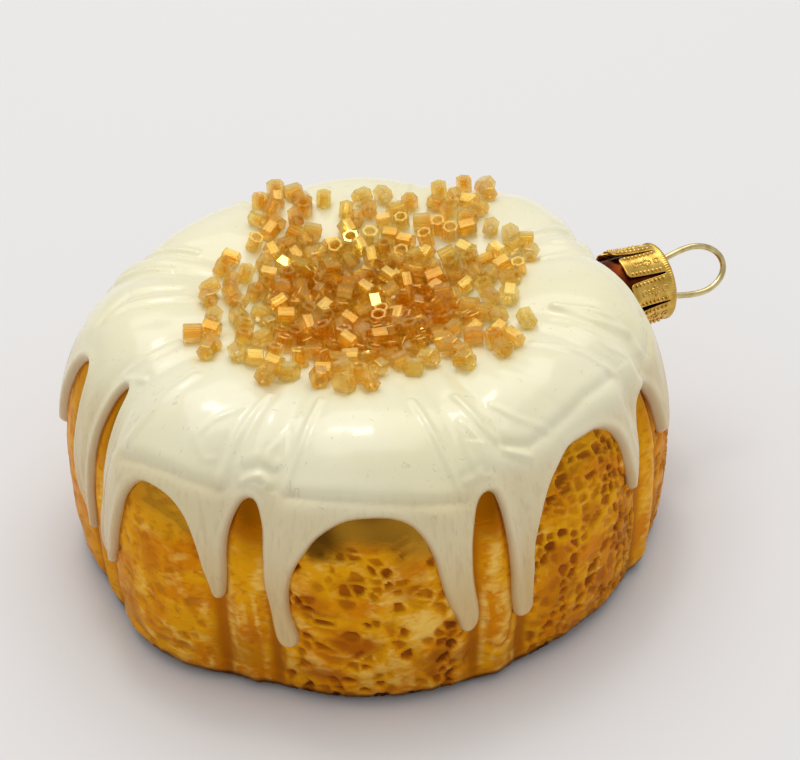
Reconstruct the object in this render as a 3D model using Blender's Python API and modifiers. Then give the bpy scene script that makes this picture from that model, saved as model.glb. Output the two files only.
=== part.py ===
"""Glass ornament in the form of an iced bundt cake, lying on its flat back with the icing up.

Five solids: the fluted glass cake with its short neck, the coat of icing with its drips, the heap
of glass beads, the metal cap with its eight tabs, and the wire loop that hangs the ornament.

World frame in metres: +Z up through the middle of the cake, the origin at the centre of the flat
base, and +X along the neck, the cap and the loop. Sizes below are in millimetres. Angles round the
cake are in degrees from +X towards +Y.

A place on the cake's outline is a station, an angle in degrees that runs from the middle of the
base (-120) out to its edge (-90), up the side past the widest line (0) to the crest (90) and down
into the well in the middle of the top (180).
"""

import math

import bmesh
import bpy
from mathutils import Matrix, Vector

MM = 0.001

# Outline of the glass through the middle of a lobe.
MAX_RADIUS = 39.6
WIDEST_HEIGHT = 13.4
BASE_FLAT_RADIUS = 35.0
BASE_ROUNDNESS = 3.0
CREST_RADIUS = 25.3
CREST_HEIGHT = 35.0
SIDE_ROUNDNESS = 2.4
WELL_HEIGHT = 29.4
BASE_STATION, BASE_EDGE, WIDEST, CREST, WELL_STATION = -120.0, -90.0, 0.0, 90.0, 180.0
NORMAL_STEP = 0.5

# Flutes: eight broad lobes, uneven as blown glass is, with a narrow rib in each valley between
# them. Each lobe starts at a rib, and swells out or in from the mean outline.
RIB_ANGLES = (0.0, 45.0, 90.0, 136.0, 183.0, 222.5, 270.0, 316.0)
LOBE_SWELL = (0.4, -1.9, -2.6, 0.1, 1.1, 0.0, -1.5, 0.1)
VALLEY_OFFSET = 5.2
LOBE_POWER = 2.2
RIB_RISE = 0.45
BASE_DEPTH, SIDE_DEPTH, CREST_DEPTH = 0.4, 1.6, 0.9
SIDE_DEPTH_FROM, SIDE_DEPTH_TO = -20.0, 35.0
SWELL_TO = 40.0
FLUTE_END = 135.0
RIB_COLUMNS = (0.0, 2.6, 5.2, 7.4, 11.0, 16.5)
WELL_STATIONS = (180.0, 148.0, 120.0)
GLASS_STATIONS = (98.0, 78.0, 57.0, 42.0, 26.0, 8.0, -14.0, -38.0, -62.0, -90.0, -120.0)

# Neck of the glass, and the flat seat round its root.
CAP_HEIGHT = 25.0
SEAT_X = 36.2
SEAT_RADIUS, SEAT_BLEND = 6.2, 11.5
NECK_ROOT, NECK_END, NECK_RADIUS = 30.0, 43.3, 4.5
BORE_RADIUS, BORE_DEPTH = 3.3, 5.0
NECK_SIDES = 24

# Icing: gap to the glass, thickness, and the fold that runs round its shoulder.
GAP = 0.4
ICING = 0.95
COLLAR_RISE, COLLAR_STATION, COLLAR_WIDTH = 0.35, 48.0, 7.0
FOLD_SINK, FOLD_STATION, FOLD_WIDTH = 0.3, 57.0, 3.0
ICING_STATIONS = (98.0, 78.0, 57.0, 50.0)
EDGE_STEPS = (0.3, 0.64, 1.0)
EDGE_MARGIN = 6.0
EDGE_THICKNESS_SHARE = 0.5
# Each drip: angle, height of its tip, half its width in degrees, and then the height of the arch
# between it and the next drip, with the share of the arch's width at which that stands.
DRIPS = (
    (-181.5, 11.2, 3.1, 32.8, 0.45),
    (-169.5, 11.2, 3.9, 26.9, 0.45),
    (-143.3, 14.2, 1.9, 28.8, 0.60),
    (-131.2, 8.9, 2.2, 27.9, 0.62),
    (-97.6, 10.2, 3.0, 28.8, 0.65),
    (-85.3, 9.6, 2.3, 29.7, 0.60),
    (-52.0, 17.7, 3.0, 28.2, 0.45),
    (-34.2, 18.0, 3.3, 32.8, 0.52),
    (30.0, 14.0, 2.8, 29.4, 0.72),
    (52.5, 11.0, 2.8, 27.0, 0.55),
    (82.5, 15.5, 2.4, 29.5, 0.50),
    (96.5, 10.6, 2.8, 27.6, 0.50),
    (128.5, 13.0, 2.5, 29.2, 0.50),
    (143.0, 11.4, 2.5, 27.5, 0.50),
    (158.5, 17.5, 2.6, 30.5, 0.50),
)
DRIP_COLUMNS = (-1.0, -0.45, 0.45, 1.0)
DEGREE_AT_WIDEST = 0.69
WIDE_ARCH = 14.0
WIDE_ARCH_TURNS = (10.0, 28.0, 55.0, 90.0, 125.0, 152.0, 170.0)
NARROW_ARCH_TURNS = (13.0, 42.0, 90.0, 138.0, 167.0)
ARCH_POWER = 2.6
ARCH_FOOT = 3.0

# Heap of beads: the reach of its edge, with the angle, reach and half width in degrees of each
# arm that straggles further out, and its height over the icing.
BEAD = 2.2
HEAP_GAP = 0.4
HEAP_COLUMNS = 48
HEAP_RIM_SHARE = 0.88
HEAP_REACH = 22.4
HEAP_ARMS = (
    (-173.0, 4.2, 11.0),
    (-104.0, 2.6, 9.0),
    (-76.0, 2.4, 6.0),
    (-2.0, 5.0, 7.0),
    (36.0, 8.0, 10.0),
    (66.0, 2.5, 10.0),
    (97.0, 5.5, 10.0),
)
HEAP_LAYER = 0.95
HEAP_MIDDLE, HEAP_MIDDLE_REACH = 1.9, 0.55
HEAP_LUMPS, HEAP_LUMPS_FROM = 0.3, 0.35
LUMPS_ROUND, LUMPS_OUT = (4.0, 5.0), (9.0, 7.0)
HEAP_SHOULDER = 6
HEAP_EDGE = 0.5

# Cap, from the wide open end of its tabs to its milled rim, and its slots and wire holes.
CAP_TABS = 8
TAB_END_X, CAP_END_X = 37.0, 44.0
CAP_SHEET = 0.3
TAB_END_RADIUS, CAP_RADIUS, RIM_RADIUS, PLATE_RADIUS = 5.75, 5.2, 5.32, 4.4
PLATE_EDGE_DROP, PLATE_EDGE_STEP = 0.08, 0.6
RIM_DROP, RIM_WIDTH, RIM_STEP = 0.35, 0.5, 0.3
FLARE_X, FLARE_STEP = 39.5, 0.15
SLOT_END_X, SLOT_NARROW, SLOT_WIDE = 42.9, 0.32, 1.15
CAP_STEPS = 32
WIRE_HOLE_RADIUS, HOLE_SIDES = 0.75, 12
CUT_MARGIN = 1.0

# Wire loop: its plane leans from +Z towards +Y about the cap's axis.
WIRE_RADIUS = 0.43
LOOP_LEAN = 34.0
LOOP_HALF_WIDTH = 3.2
LOOP_WIDEST_X, LOOP_FAR_X = 49.6, 54.1
LEG_HALF_SPAN, LEG_END_X, SPREAD_FROM_X = 2.35, 39.8, 43.2
LEG_POINTS, BEND_POINTS = 6, 16

COLOURS = {
    "cake_glass": (0.62, 0.33, 0.07, 1.0),
    "icing_coat": (0.93, 0.89, 0.70, 1.0),
    "bead_heap": (0.85, 0.50, 0.16, 1.0),
    "ornament_cap": (0.86, 0.60, 0.22, 1.0),
    "hanger_loop": (0.72, 0.62, 0.36, 1.0),
}
FINISHES = {
    "cake_glass": (0.22, 0.35),
    "icing_coat": (0.18, 0.0),
    "bead_heap": (0.12, 0.0),
    "ornament_cap": (0.30, 1.0),
    "hanger_loop": (0.25, 1.0),
}


def smooth(value, low, high):
    """Ease from 0 at low to 1 at high."""
    share = min(1.0, max(0.0, (value - low) / (high - low)))
    return share * share * (3.0 - 2.0 * share)


def outline(station):
    """Radius and height of the glass at a station, through the middle of a lobe."""
    if station <= BASE_EDGE:
        share = (station - BASE_STATION) / (BASE_EDGE - BASE_STATION)
        return BASE_FLAT_RADIUS * share, 0.0
    if station <= WIDEST:
        turn = math.radians(-station)
        out = math.cos(turn) ** (2.0 / BASE_ROUNDNESS)
        down = math.sin(turn) ** (2.0 / BASE_ROUNDNESS)
        radius = BASE_FLAT_RADIUS + (MAX_RADIUS - BASE_FLAT_RADIUS) * out
        return radius, WIDEST_HEIGHT * (1.0 - down)
    if station <= CREST:
        turn = math.radians(station)
        out = max(0.0, math.cos(turn)) ** (2.0 / SIDE_ROUNDNESS)
        rise = math.sin(turn) ** (2.0 / SIDE_ROUNDNESS)
        radius = CREST_RADIUS + (MAX_RADIUS - CREST_RADIUS) * out
        return radius, WIDEST_HEIGHT + (CREST_HEIGHT - WIDEST_HEIGHT) * rise
    share = (WELL_STATION - station) / (WELL_STATION - CREST)
    rise = 0.5 - 0.5 * math.cos(math.pi * share)
    return CREST_RADIUS * share, WELL_HEIGHT + (CREST_HEIGHT - WELL_HEIGHT) * rise


def station_at(height):
    """Station on the side of the cake at a height."""
    if height < WIDEST_HEIGHT:
        share = 1.0 - height / WIDEST_HEIGHT
        return -math.degrees(math.asin(share ** (BASE_ROUNDNESS / 2.0)))
    share = (height - WIDEST_HEIGHT) / (CREST_HEIGHT - WIDEST_HEIGHT)
    return math.degrees(math.asin(share ** (SIDE_ROUNDNESS / 2.0)))


def outward(station):
    """Unit normal of the outline at a station, as a radial and an upward part."""
    if station <= BASE_EDGE:
        return 0.0, -1.0
    if station >= WELL_STATION:
        return 0.0, 1.0
    r_low, z_low = outline(max(BASE_EDGE, station - NORMAL_STEP))
    r_high, z_high = outline(min(WELL_STATION, station + NORMAL_STEP))
    along_r, along_z = r_high - r_low, z_high - z_low
    length = math.hypot(along_r, along_z)
    return along_z / length, -along_r / length


def lobe_at(angle):
    """Index of the lobe at an angle, how far into it the angle is, and the lobe's whole span."""
    angle %= 360.0
    index = max(number for number, rib in enumerate(RIB_ANGLES) if rib <= angle)
    span = (RIB_ANGLES + (360.0,))[index + 1] - RIB_ANGLES[index]
    return index, angle - RIB_ANGLES[index], span


def flute(angle):
    """Depth of the flutes round the cake: 0 on a lobe, 1 in a valley, less on the rib between."""
    _, into, span = lobe_at(angle)
    offset = min(into, span - into)
    if offset < VALLEY_OFFSET:
        return 1.0 - RIB_RISE * math.cos(0.5 * math.pi * offset / VALLEY_OFFSET) ** 2
    share = (span / 2.0 - offset) / (span / 2.0 - VALLEY_OFFSET)
    return share ** LOBE_POWER


def swell(angle, station):
    """How far a lobe's side stands out of the mean outline."""
    index, into, span = lobe_at(angle)
    return LOBE_SWELL[index] * math.sin(math.pi * into / span) * (1.0 - smooth(station, SWELL_TO, CREST))


def flute_depth(station):
    """Depth of a valley in millimetres at a station."""
    side = BASE_DEPTH + (SIDE_DEPTH - BASE_DEPTH) * smooth(station, BASE_EDGE, SIDE_DEPTH_FROM)
    top = side + (CREST_DEPTH - side) * smooth(station, SIDE_DEPTH_TO, CREST)
    return top * (1.0 - smooth(station, CREST, FLUTE_END))


def cake_point(angle, station, lift, fluted=True):
    """Point in metres at a lift in millimetres over the glass, with or without its flutes."""
    radius, height = outline(station)
    out, up = outward(station)
    shift = swell(angle, station) - flute_depth(station) * flute(angle) if fluted else 0.0
    if station < WIDEST:
        radius += shift * min(1.0, radius / BASE_FLAT_RADIUS)
    else:
        lift += shift
    radius += out * lift
    height += up * lift
    turn = math.radians(angle)
    x, y = radius * math.cos(turn), radius * math.sin(turn)
    seat = 1.0 - smooth(math.hypot(y, height - CAP_HEIGHT), SEAT_RADIUS, SEAT_BLEND)
    if x > SEAT_X + lift:
        x += seat * (SEAT_X + lift - x)
    return Vector((x, y, height)) * MM


def ball(columns, rings):
    """Unit sphere of bands and columns, with each vertex's band and column from the top pole."""
    mesh = bmesh.new()
    bmesh.ops.create_uvsphere(mesh, u_segments=columns, v_segments=rings, radius=1.0)
    places = []
    for vertex in mesh.verts:
        band = round(math.acos(max(-1.0, min(1.0, vertex.co.z))) / math.pi * rings)
        turn = math.atan2(vertex.co.y, vertex.co.x) / (2.0 * math.pi)
        places.append((vertex, band, round(turn * columns) % columns))
    return mesh, places


def add_object(name, data, collection):
    """Object for a mesh or curve, with the named part's own material."""
    part = bpy.data.objects.new(name, data)
    collection.objects.link(part)
    if name in COLOURS:
        material = bpy.data.materials.new(name + "_finish")
        material.use_nodes = True
        shader = material.node_tree.nodes["Principled BSDF"]
        shader.inputs["Base Color"].default_value = COLOURS[name]
        shader.inputs["Roughness"].default_value = FINISHES[name][0]
        shader.inputs["Metallic"].default_value = FINISHES[name][1]
        data.materials.append(material)
    return part


def finish_mesh(name, mesh, collection):
    """Object for an edited mesh, which is used up."""
    data = bpy.data.meshes.new(name)
    mesh.to_mesh(data)
    mesh.free()
    return add_object(name, data, collection)


def rod(name, radius, x_low, x_high, collection, height=CAP_HEIGHT, y=0.0, sides=NECK_SIDES):
    """Closed round rod along X."""
    mesh = bmesh.new()
    length = (x_high - x_low) * MM
    bmesh.ops.create_cone(
        mesh, cap_ends=True, segments=sides, radius1=radius * MM, radius2=radius * MM, depth=length
    )
    middle = Vector(((x_low + x_high) / 2.0, y, height)) * MM
    place = Matrix.Translation(middle) @ Matrix.Rotation(math.pi / 2.0, 4, "Y")
    bmesh.ops.transform(mesh, matrix=place, verts=mesh.verts)
    return finish_mesh(name, mesh, collection)


def boolean(part, cutter, operation):
    """Exact Boolean of a part with a cutter, kept as a modifier."""
    modifier = part.modifiers.new(cutter.name, "BOOLEAN")
    modifier.operation = operation
    modifier.solver = "EXACT"
    modifier.object = cutter
    cutter.hide_render = True
    cutter.display_type = "WIRE"


def glass_columns():
    """Angles round the glass, close together at the ribs and wide on the lobes."""
    columns = []
    for rib in RIB_ANGLES:
        span = lobe_at(rib)[2]
        mirrored = [span - offset for offset in reversed(RIB_COLUMNS[1:])]
        columns += [rib + into for into in [*RIB_COLUMNS, span / 2.0, *mirrored]]
    return columns


def build_glass(parts, cutters):
    """Fluted glass cake with a round neck that has an open bore for the wire's legs."""
    angles = glass_columns()
    stations = WELL_STATIONS + GLASS_STATIONS
    mesh, places = ball(len(angles), len(stations) - 1)
    for vertex, band, column in places:
        vertex.co = cake_point(angles[column], stations[band], 0.0)
    glass = finish_mesh("cake_glass", mesh, parts)
    boolean(glass, rod("neck", NECK_RADIUS, NECK_ROOT, NECK_END, cutters), "UNION")
    bore_from = NECK_END - BORE_DEPTH
    boolean(glass, rod("neck_bore", BORE_RADIUS, bore_from, NECK_END + CUT_MARGIN, cutters), "DIFFERENCE")
    return glass


def icing_edge():
    """Angle and height of the icing's lower edge, column by column round the cake."""
    edge = []
    for index, (angle, tip, half, arch, lean) in enumerate(DRIPS):
        for share in DRIP_COLUMNS:
            rounding = half * DEGREE_AT_WIDEST * (1.0 - math.sqrt(1.0 - share * share))
            edge.append((angle + share * half, tip + rounding))
        after = DRIPS[(index + 1) % len(DRIPS)]
        start = angle + half
        width = (after[0] - after[2] - start) % 360.0
        for turn in WIDE_ARCH_TURNS if width > WIDE_ARCH else NARROW_ARCH_TURNS:
            cosine = math.cos(math.radians(turn))
            across = abs(cosine) ** (2.0 / ARCH_POWER)
            rise = math.sin(math.radians(turn)) ** (2.0 / ARCH_POWER)
            first = cosine > 0.0
            share = lean * (1.0 - across) if first else lean + (1.0 - lean) * across
            foot = (tip if first else after[1]) + ARCH_FOOT
            edge.append((start + share * width, foot + (arch - foot) * rise))
    return edge


def icing_thickness(station):
    """Thickness of the icing: a sunken fold round the shoulder and a full collar under it."""
    collar = COLLAR_RISE * math.exp(-(((station - COLLAR_STATION) / COLLAR_WIDTH) ** 2))
    fold = FOLD_SINK * math.exp(-(((station - FOLD_STATION) / FOLD_WIDTH) ** 2))
    return ICING + collar - fold


def build_icing(parts):
    """Coat of icing over the top, with its drips down the lobes' edges and arches between."""
    edge = icing_edge()
    stations = WELL_STATIONS + ICING_STATIONS
    rows = len(stations) + len(EDGE_STEPS) - 1
    mesh, places = ball(len(edge), 2 * rows)
    for vertex, band, column in places:
        angle, height = edge[column]
        row = min(band, 2 * rows - band)
        last = max(stations[-1], station_at(height) + EDGE_MARGIN)
        if row < len(stations):
            station = max(stations[row], last)
        else:
            share = EDGE_STEPS[row - len(stations)]
            station = last + (station_at(height) - last) * share
        lift = GAP + icing_thickness(station) * (EDGE_THICKNESS_SHARE if row == rows else 1.0)
        if band > rows:
            lift = GAP
        vertex.co = cake_point(angle, station, lift)
    return finish_mesh("icing_coat", mesh, parts)


def heap_reach(angle):
    """Reach of the heap's ragged edge at an angle."""
    reach = HEAP_REACH
    for middle, extra, half in HEAP_ARMS:
        away = (angle - middle + 180.0) % 360.0 - 180.0
        reach += extra * math.exp(-((away / half) ** 2))
    return reach


def heap_height(share, angle):
    """Height of the heap over the icing at a share of its reach."""
    middle = HEAP_MIDDLE * (1.0 - smooth(share, 0.0, HEAP_MIDDLE_REACH))
    turn = math.radians(angle)
    lumps = math.sin(LUMPS_ROUND[0] * turn + LUMPS_OUT[0] * share)
    lumps *= math.sin(LUMPS_ROUND[1] * turn - LUMPS_OUT[1] * share)
    lumps *= HEAP_LUMPS * smooth(share, 0.0, HEAP_LUMPS_FROM)
    shoulder = math.sqrt(max(0.0, 1.0 - share ** HEAP_SHOULDER))
    return (HEAP_LAYER * BEAD + middle + BEAD * lumps) * shoulder


def build_heap(parts):
    """Heap of beads as one uneven solid that lies in the well and over the crest."""
    half = len(WELL_STATIONS) + 1
    mesh, places = ball(HEAP_COLUMNS, 2 * half)
    for vertex, band, column in places:
        angle = column * 360.0 / HEAP_COLUMNS
        row = min(band, 2 * half - band)
        reach = heap_reach(angle) / CREST_RADIUS * (WELL_STATION - CREST)
        if row < len(WELL_STATIONS):
            station = WELL_STATIONS[row]
        else:
            station = WELL_STATION - reach * (1.0 if row == half else HEAP_RIM_SHARE)
        share = (WELL_STATION - station) / reach
        bed = GAP + icing_thickness(station) + HEAP_GAP
        rise = heap_height(share, angle) if band < half else 0.0
        vertex.co = cake_point(angle, station, bed, fluted=False)
        vertex.co.z += max(rise, HEAP_EDGE if band == half else 0.0) * MM
    return finish_mesh("bead_heap", mesh, parts)


def cap_profile():
    """Open profile of the cap in the XZ plane: plate, milled rim and the flared skirt."""
    rim_x = CAP_END_X - RIM_DROP
    return (
        (CAP_END_X, 0.0),
        (CAP_END_X, PLATE_RADIUS),
        (CAP_END_X - PLATE_EDGE_DROP, PLATE_RADIUS + PLATE_EDGE_STEP),
        (rim_x, RIM_RADIUS),
        (rim_x - RIM_WIDTH, RIM_RADIUS),
        (rim_x - RIM_WIDTH - RIM_STEP, CAP_RADIUS),
        (FLARE_X, CAP_RADIUS + FLARE_STEP),
        (TAB_END_X, TAB_END_RADIUS),
    )


def slot_cutter(index, collection):
    """Flat wedge through the cap's axis that opens two slots facing each other."""
    mesh = bmesh.new()
    bmesh.ops.create_cube(mesh, size=2.0)
    middle = (SLOT_END_X + TAB_END_X - CUT_MARGIN) / 2.0
    half_length = (SLOT_END_X - TAB_END_X + CUT_MARGIN) / 2.0
    reach = TAB_END_RADIUS + CUT_MARGIN
    for vertex in mesh.verts:
        width = SLOT_NARROW if vertex.co.x > 0.0 else SLOT_WIDE
        place = (vertex.co.x * half_length, vertex.co.y * width / 2.0, vertex.co.z * reach)
        vertex.co = Vector(place) * MM
    turn = Matrix.Rotation(index * 2.0 * math.pi / CAP_TABS, 4, "X")
    place = Matrix.Translation(Vector((middle, 0.0, CAP_HEIGHT)) * MM) @ turn
    bmesh.ops.transform(mesh, matrix=place, verts=mesh.verts)
    return finish_mesh(f"cap_slot_{index + 1}", mesh, collection)


def loop_place(x, across):
    """Point in metres on the loop's leaning plane, across the cap's axis."""
    lean = math.radians(LOOP_LEAN)
    return Vector((x, across * math.sin(lean), CAP_HEIGHT + across * math.cos(lean))) * MM


def build_cap(parts, cutters):
    """Thin metal cap turned about the neck's axis, slotted into eight tabs, with two wire holes."""
    mesh = bmesh.new()
    corners = [mesh.verts.new(Vector((x, 0.0, radius)) * MM) for x, radius in cap_profile()]
    for low, high in zip(corners, corners[1:]):
        mesh.edges.new((low, high))
    data = bpy.data.meshes.new("ornament_cap")
    mesh.to_mesh(data)
    mesh.free()
    cap = add_object("ornament_cap", data, parts)
    cap.location = (0.0, 0.0, CAP_HEIGHT * MM)
    screw = cap.modifiers.new("turn", "SCREW")
    screw.axis = "X"
    screw.steps = CAP_STEPS
    screw.render_steps = CAP_STEPS
    screw.use_merge_vertices = True
    screw.merge_threshold = 0.00001
    screw.use_normal_calculate = True
    sheet = cap.modifiers.new("sheet", "SOLIDIFY")
    sheet.thickness = CAP_SHEET * MM
    sheet.offset = -1.0
    for index in range(CAP_TABS // 2):
        boolean(cap, slot_cutter(index, cutters), "DIFFERENCE")
    for index, side in enumerate((-1.0, 1.0)):
        place = loop_place(CAP_END_X, side * LEG_HALF_SPAN) / MM
        hole = rod(
            f"wire_hole_{index + 1}", WIRE_HOLE_RADIUS, CAP_END_X - CUT_MARGIN,
            CAP_END_X + CUT_MARGIN, cutters, height=place.z, y=place.y, sides=HOLE_SIDES,
        )
        boolean(cap, hole, "DIFFERENCE")
    return cap


def loop_route():
    """Middle of the wire from the end of one leg round the loop to the end of the other."""
    leg = []
    for index in range(LEG_POINTS):
        x = LEG_END_X + (LOOP_WIDEST_X - LEG_END_X) * index / LEG_POINTS
        spread = smooth(x, SPREAD_FROM_X, LOOP_WIDEST_X)
        leg.append((x, LEG_HALF_SPAN + (LOOP_HALF_WIDTH - LEG_HALF_SPAN) * spread))
    bend = []
    for index in range(BEND_POINTS + 1):
        turn = math.pi * (0.5 - index / BEND_POINTS)
        reach = LOOP_FAR_X - LOOP_WIDEST_X
        bend.append((LOOP_WIDEST_X + reach * math.cos(turn), LOOP_HALF_WIDTH * math.sin(turn)))
    return leg + bend + [(x, -across) for x, across in reversed(leg)]


def build_loop(parts):
    """Wire loop whose two legs pass through the cap into the neck."""
    curve = bpy.data.curves.new("hanger_loop", "CURVE")
    curve.dimensions = "3D"
    curve.bevel_depth = WIRE_RADIUS * MM
    curve.bevel_resolution = 2
    curve.use_fill_caps = True
    route = loop_route()
    spline = curve.splines.new("POLY")
    spline.points.add(len(route) - 1)
    for point, (x, across) in zip(spline.points, route):
        point.co = (*loop_place(x, across), 1.0)
    return add_object("hanger_loop", curve, parts)


def main():
    """Clear the scene and build the ornament's five solids."""
    for item in list(bpy.data.objects):
        bpy.data.objects.remove(item)
    parts = bpy.data.collections.new("bundt_cake_ornament")
    cutters = bpy.data.collections.new("cutters")
    bpy.context.scene.collection.children.link(parts)
    bpy.context.scene.collection.children.link(cutters)
    build_glass(parts, cutters)
    build_icing(parts)
    build_heap(parts)
    build_cap(parts, cutters)
    build_loop(parts)


main()
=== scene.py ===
"""Dresses the glass ornament in the form of an iced bundt cake.

Five sub-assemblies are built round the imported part, in its own frame: the fluted gold-lacquered
glass with its crumb, the glossy icing with its drips, the amber beads over the well, the embossed
metal cap and the wire loop. +Z is up, the origin is the centre of the flat base, and +X runs along
the cap. Sizes are millimetres unless a name says otherwise, and angles are degrees from +X to +Y.

A place on the cake's outline is a station: -90 at the edge of the base, 0 at the widest line, 90
on the crest and 180 in the middle of the well.
"""

import logging
import math
from dataclasses import dataclass, field
from enum import Enum
from typing import Callable, Optional, Sequence

import bpy
import numpy as np
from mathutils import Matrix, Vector
from mathutils.geometry import delaunay_2d_cdt


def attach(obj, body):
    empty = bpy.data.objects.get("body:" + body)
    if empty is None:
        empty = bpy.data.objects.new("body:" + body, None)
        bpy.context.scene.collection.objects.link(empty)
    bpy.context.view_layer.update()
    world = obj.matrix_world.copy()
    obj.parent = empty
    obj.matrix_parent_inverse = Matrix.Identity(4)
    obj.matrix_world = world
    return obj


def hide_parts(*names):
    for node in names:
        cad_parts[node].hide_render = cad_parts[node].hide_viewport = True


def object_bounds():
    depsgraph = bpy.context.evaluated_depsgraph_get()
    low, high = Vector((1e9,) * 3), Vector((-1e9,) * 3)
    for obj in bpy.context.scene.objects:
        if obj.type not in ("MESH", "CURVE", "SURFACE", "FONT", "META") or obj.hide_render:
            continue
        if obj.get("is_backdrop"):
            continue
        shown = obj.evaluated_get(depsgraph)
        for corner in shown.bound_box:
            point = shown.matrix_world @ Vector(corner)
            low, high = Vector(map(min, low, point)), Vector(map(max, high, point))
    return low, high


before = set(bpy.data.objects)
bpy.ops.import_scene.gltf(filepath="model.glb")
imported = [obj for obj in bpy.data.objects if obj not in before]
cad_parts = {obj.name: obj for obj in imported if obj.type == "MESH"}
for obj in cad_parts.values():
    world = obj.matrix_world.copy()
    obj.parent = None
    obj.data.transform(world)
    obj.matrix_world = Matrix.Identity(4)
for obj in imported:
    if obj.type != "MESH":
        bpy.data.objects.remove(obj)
CAD_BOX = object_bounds()
LOG = logging.getLogger("bundt_ornament")
MM = 0.001
BODY = "root"
Array = np.ndarray


class Slot(Enum):
    """Material slots of the part's record."""

    GLASS = "lacquered_glass"
    ICING = "icing_enamel"
    BEADS = "amber_beads"
    CAP = "cap_metal"
    WIRE = "loop_wire"


class Crumb(Enum):
    """How the glass of a lobe is moulded between its ribs."""

    PITTED = 1.0
    BRUSHED = 0.25


class Mould(Enum):
    """Profile of a line in the moulded relief."""

    RIDGE = "ridge"
    GROOVE = "groove"
    FOLD = "fold"


def ease(value: Array, low: float, high: float) -> Array:
    """Ease from 0 at low to 1 at high."""
    share = np.clip((np.asarray(value, float) - low) / (high - low), 0.0, 1.0)
    return share * share * (3.0 - 2.0 * share)


def hump(value: Array, middle: Array, width: float) -> Array:
    """Bell of height 1 round a middle value."""
    return np.exp(-(((value - middle) / width) ** 2))


def wrapped(angle: Array) -> Array:
    """Angle in degrees brought between -180 and 180."""
    return (np.asarray(angle, float) + 180.0) % 360.0 - 180.0


def lattice(u: Array, v: Array, seed: int, period: int) -> Array:
    """Smooth noise from -1 to 1 on a lattice of unit cells that closes round u.

    Args:
        u: place round, in cells; period cells make the full round.
        v: place across, in cells.
        seed: number that fixes the noise.
        period: cells in the full round.

    Returns:
        The noise at each place.
    """
    rows = 64
    table = np.random.default_rng(seed).uniform(-1.0, 1.0, (period, rows))
    iu, iv = np.floor(u).astype(int), np.floor(v).astype(int)
    fu, fv = u - iu, v - iv
    fu, fv = fu * fu * (3.0 - 2.0 * fu), fv * fv * (3.0 - 2.0 * fv)
    corner = lambda a, b: table[(iu + a) % period, (iv + b) % rows]
    near = corner(0, 0) * (1.0 - fu) + corner(1, 0) * fu
    far = corner(0, 1) * (1.0 - fu) + corner(1, 1) * fu
    return near * (1.0 - fv) + far * fv


def mesh_object(name: str, points: Array, faces: Sequence[Sequence[int]], smooth: bool = True) -> bpy.types.Object:
    """Object in the scene for a mesh given in millimetres.

    Args:
        name: name of the object and its mesh.
        points: N by 3 corners.
        faces: corner numbers of each face, counter-clockwise from outside.
        smooth: whether its faces are shaded smooth.

    Returns:
        The linked object.
    """
    data = bpy.data.meshes.new(name)
    data.from_pydata((np.asarray(points) * MM).tolist(), [], [list(map(int, f)) for f in faces])
    data.validate()
    data.shade_smooth() if smooth else data.shade_flat()
    piece = bpy.data.objects.new(name, data)
    bpy.context.scene.collection.objects.link(piece)
    return piece


def add_attribute(piece: bpy.types.Object, name: str, values: Array) -> None:
    """Stores one number for each corner of a piece's mesh under a name."""
    layer = piece.data.attributes.new(name, "FLOAT", "POINT")
    layer.data.foreach_set("value", np.asarray(values, np.float32).ravel())


def plain_mesh(piece: bpy.types.Object) -> bpy.types.Object:
    """Turns a piece's modifiers into its mesh and removes them."""
    graph = bpy.context.evaluated_depsgraph_get()
    data = bpy.data.meshes.new_from_object(piece.evaluated_get(graph))
    piece.modifiers.clear()
    piece.data = data
    data.name = piece.name
    return piece


def place_piece(piece: bpy.types.Object, slot: Slot, material: bpy.types.Material, *nodes: str) -> None:
    """Dresses a finished piece, hangs it under the body's empty and hides the nodes that it replaces.

    Args:
        piece: the finished piece.
        slot: record slot that it stands for, only named in the log.
        material: its material.
        nodes: nodes of the part that it replaces.
    """
    piece.data.materials.clear()
    piece.data.materials.append(material)
    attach(piece, BODY)
    if nodes:
        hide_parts(*nodes)
    LOG.info("%s: %d faces, slot %s, for %s", piece.name, len(piece.data.polygons), slot.value, nodes)


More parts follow.
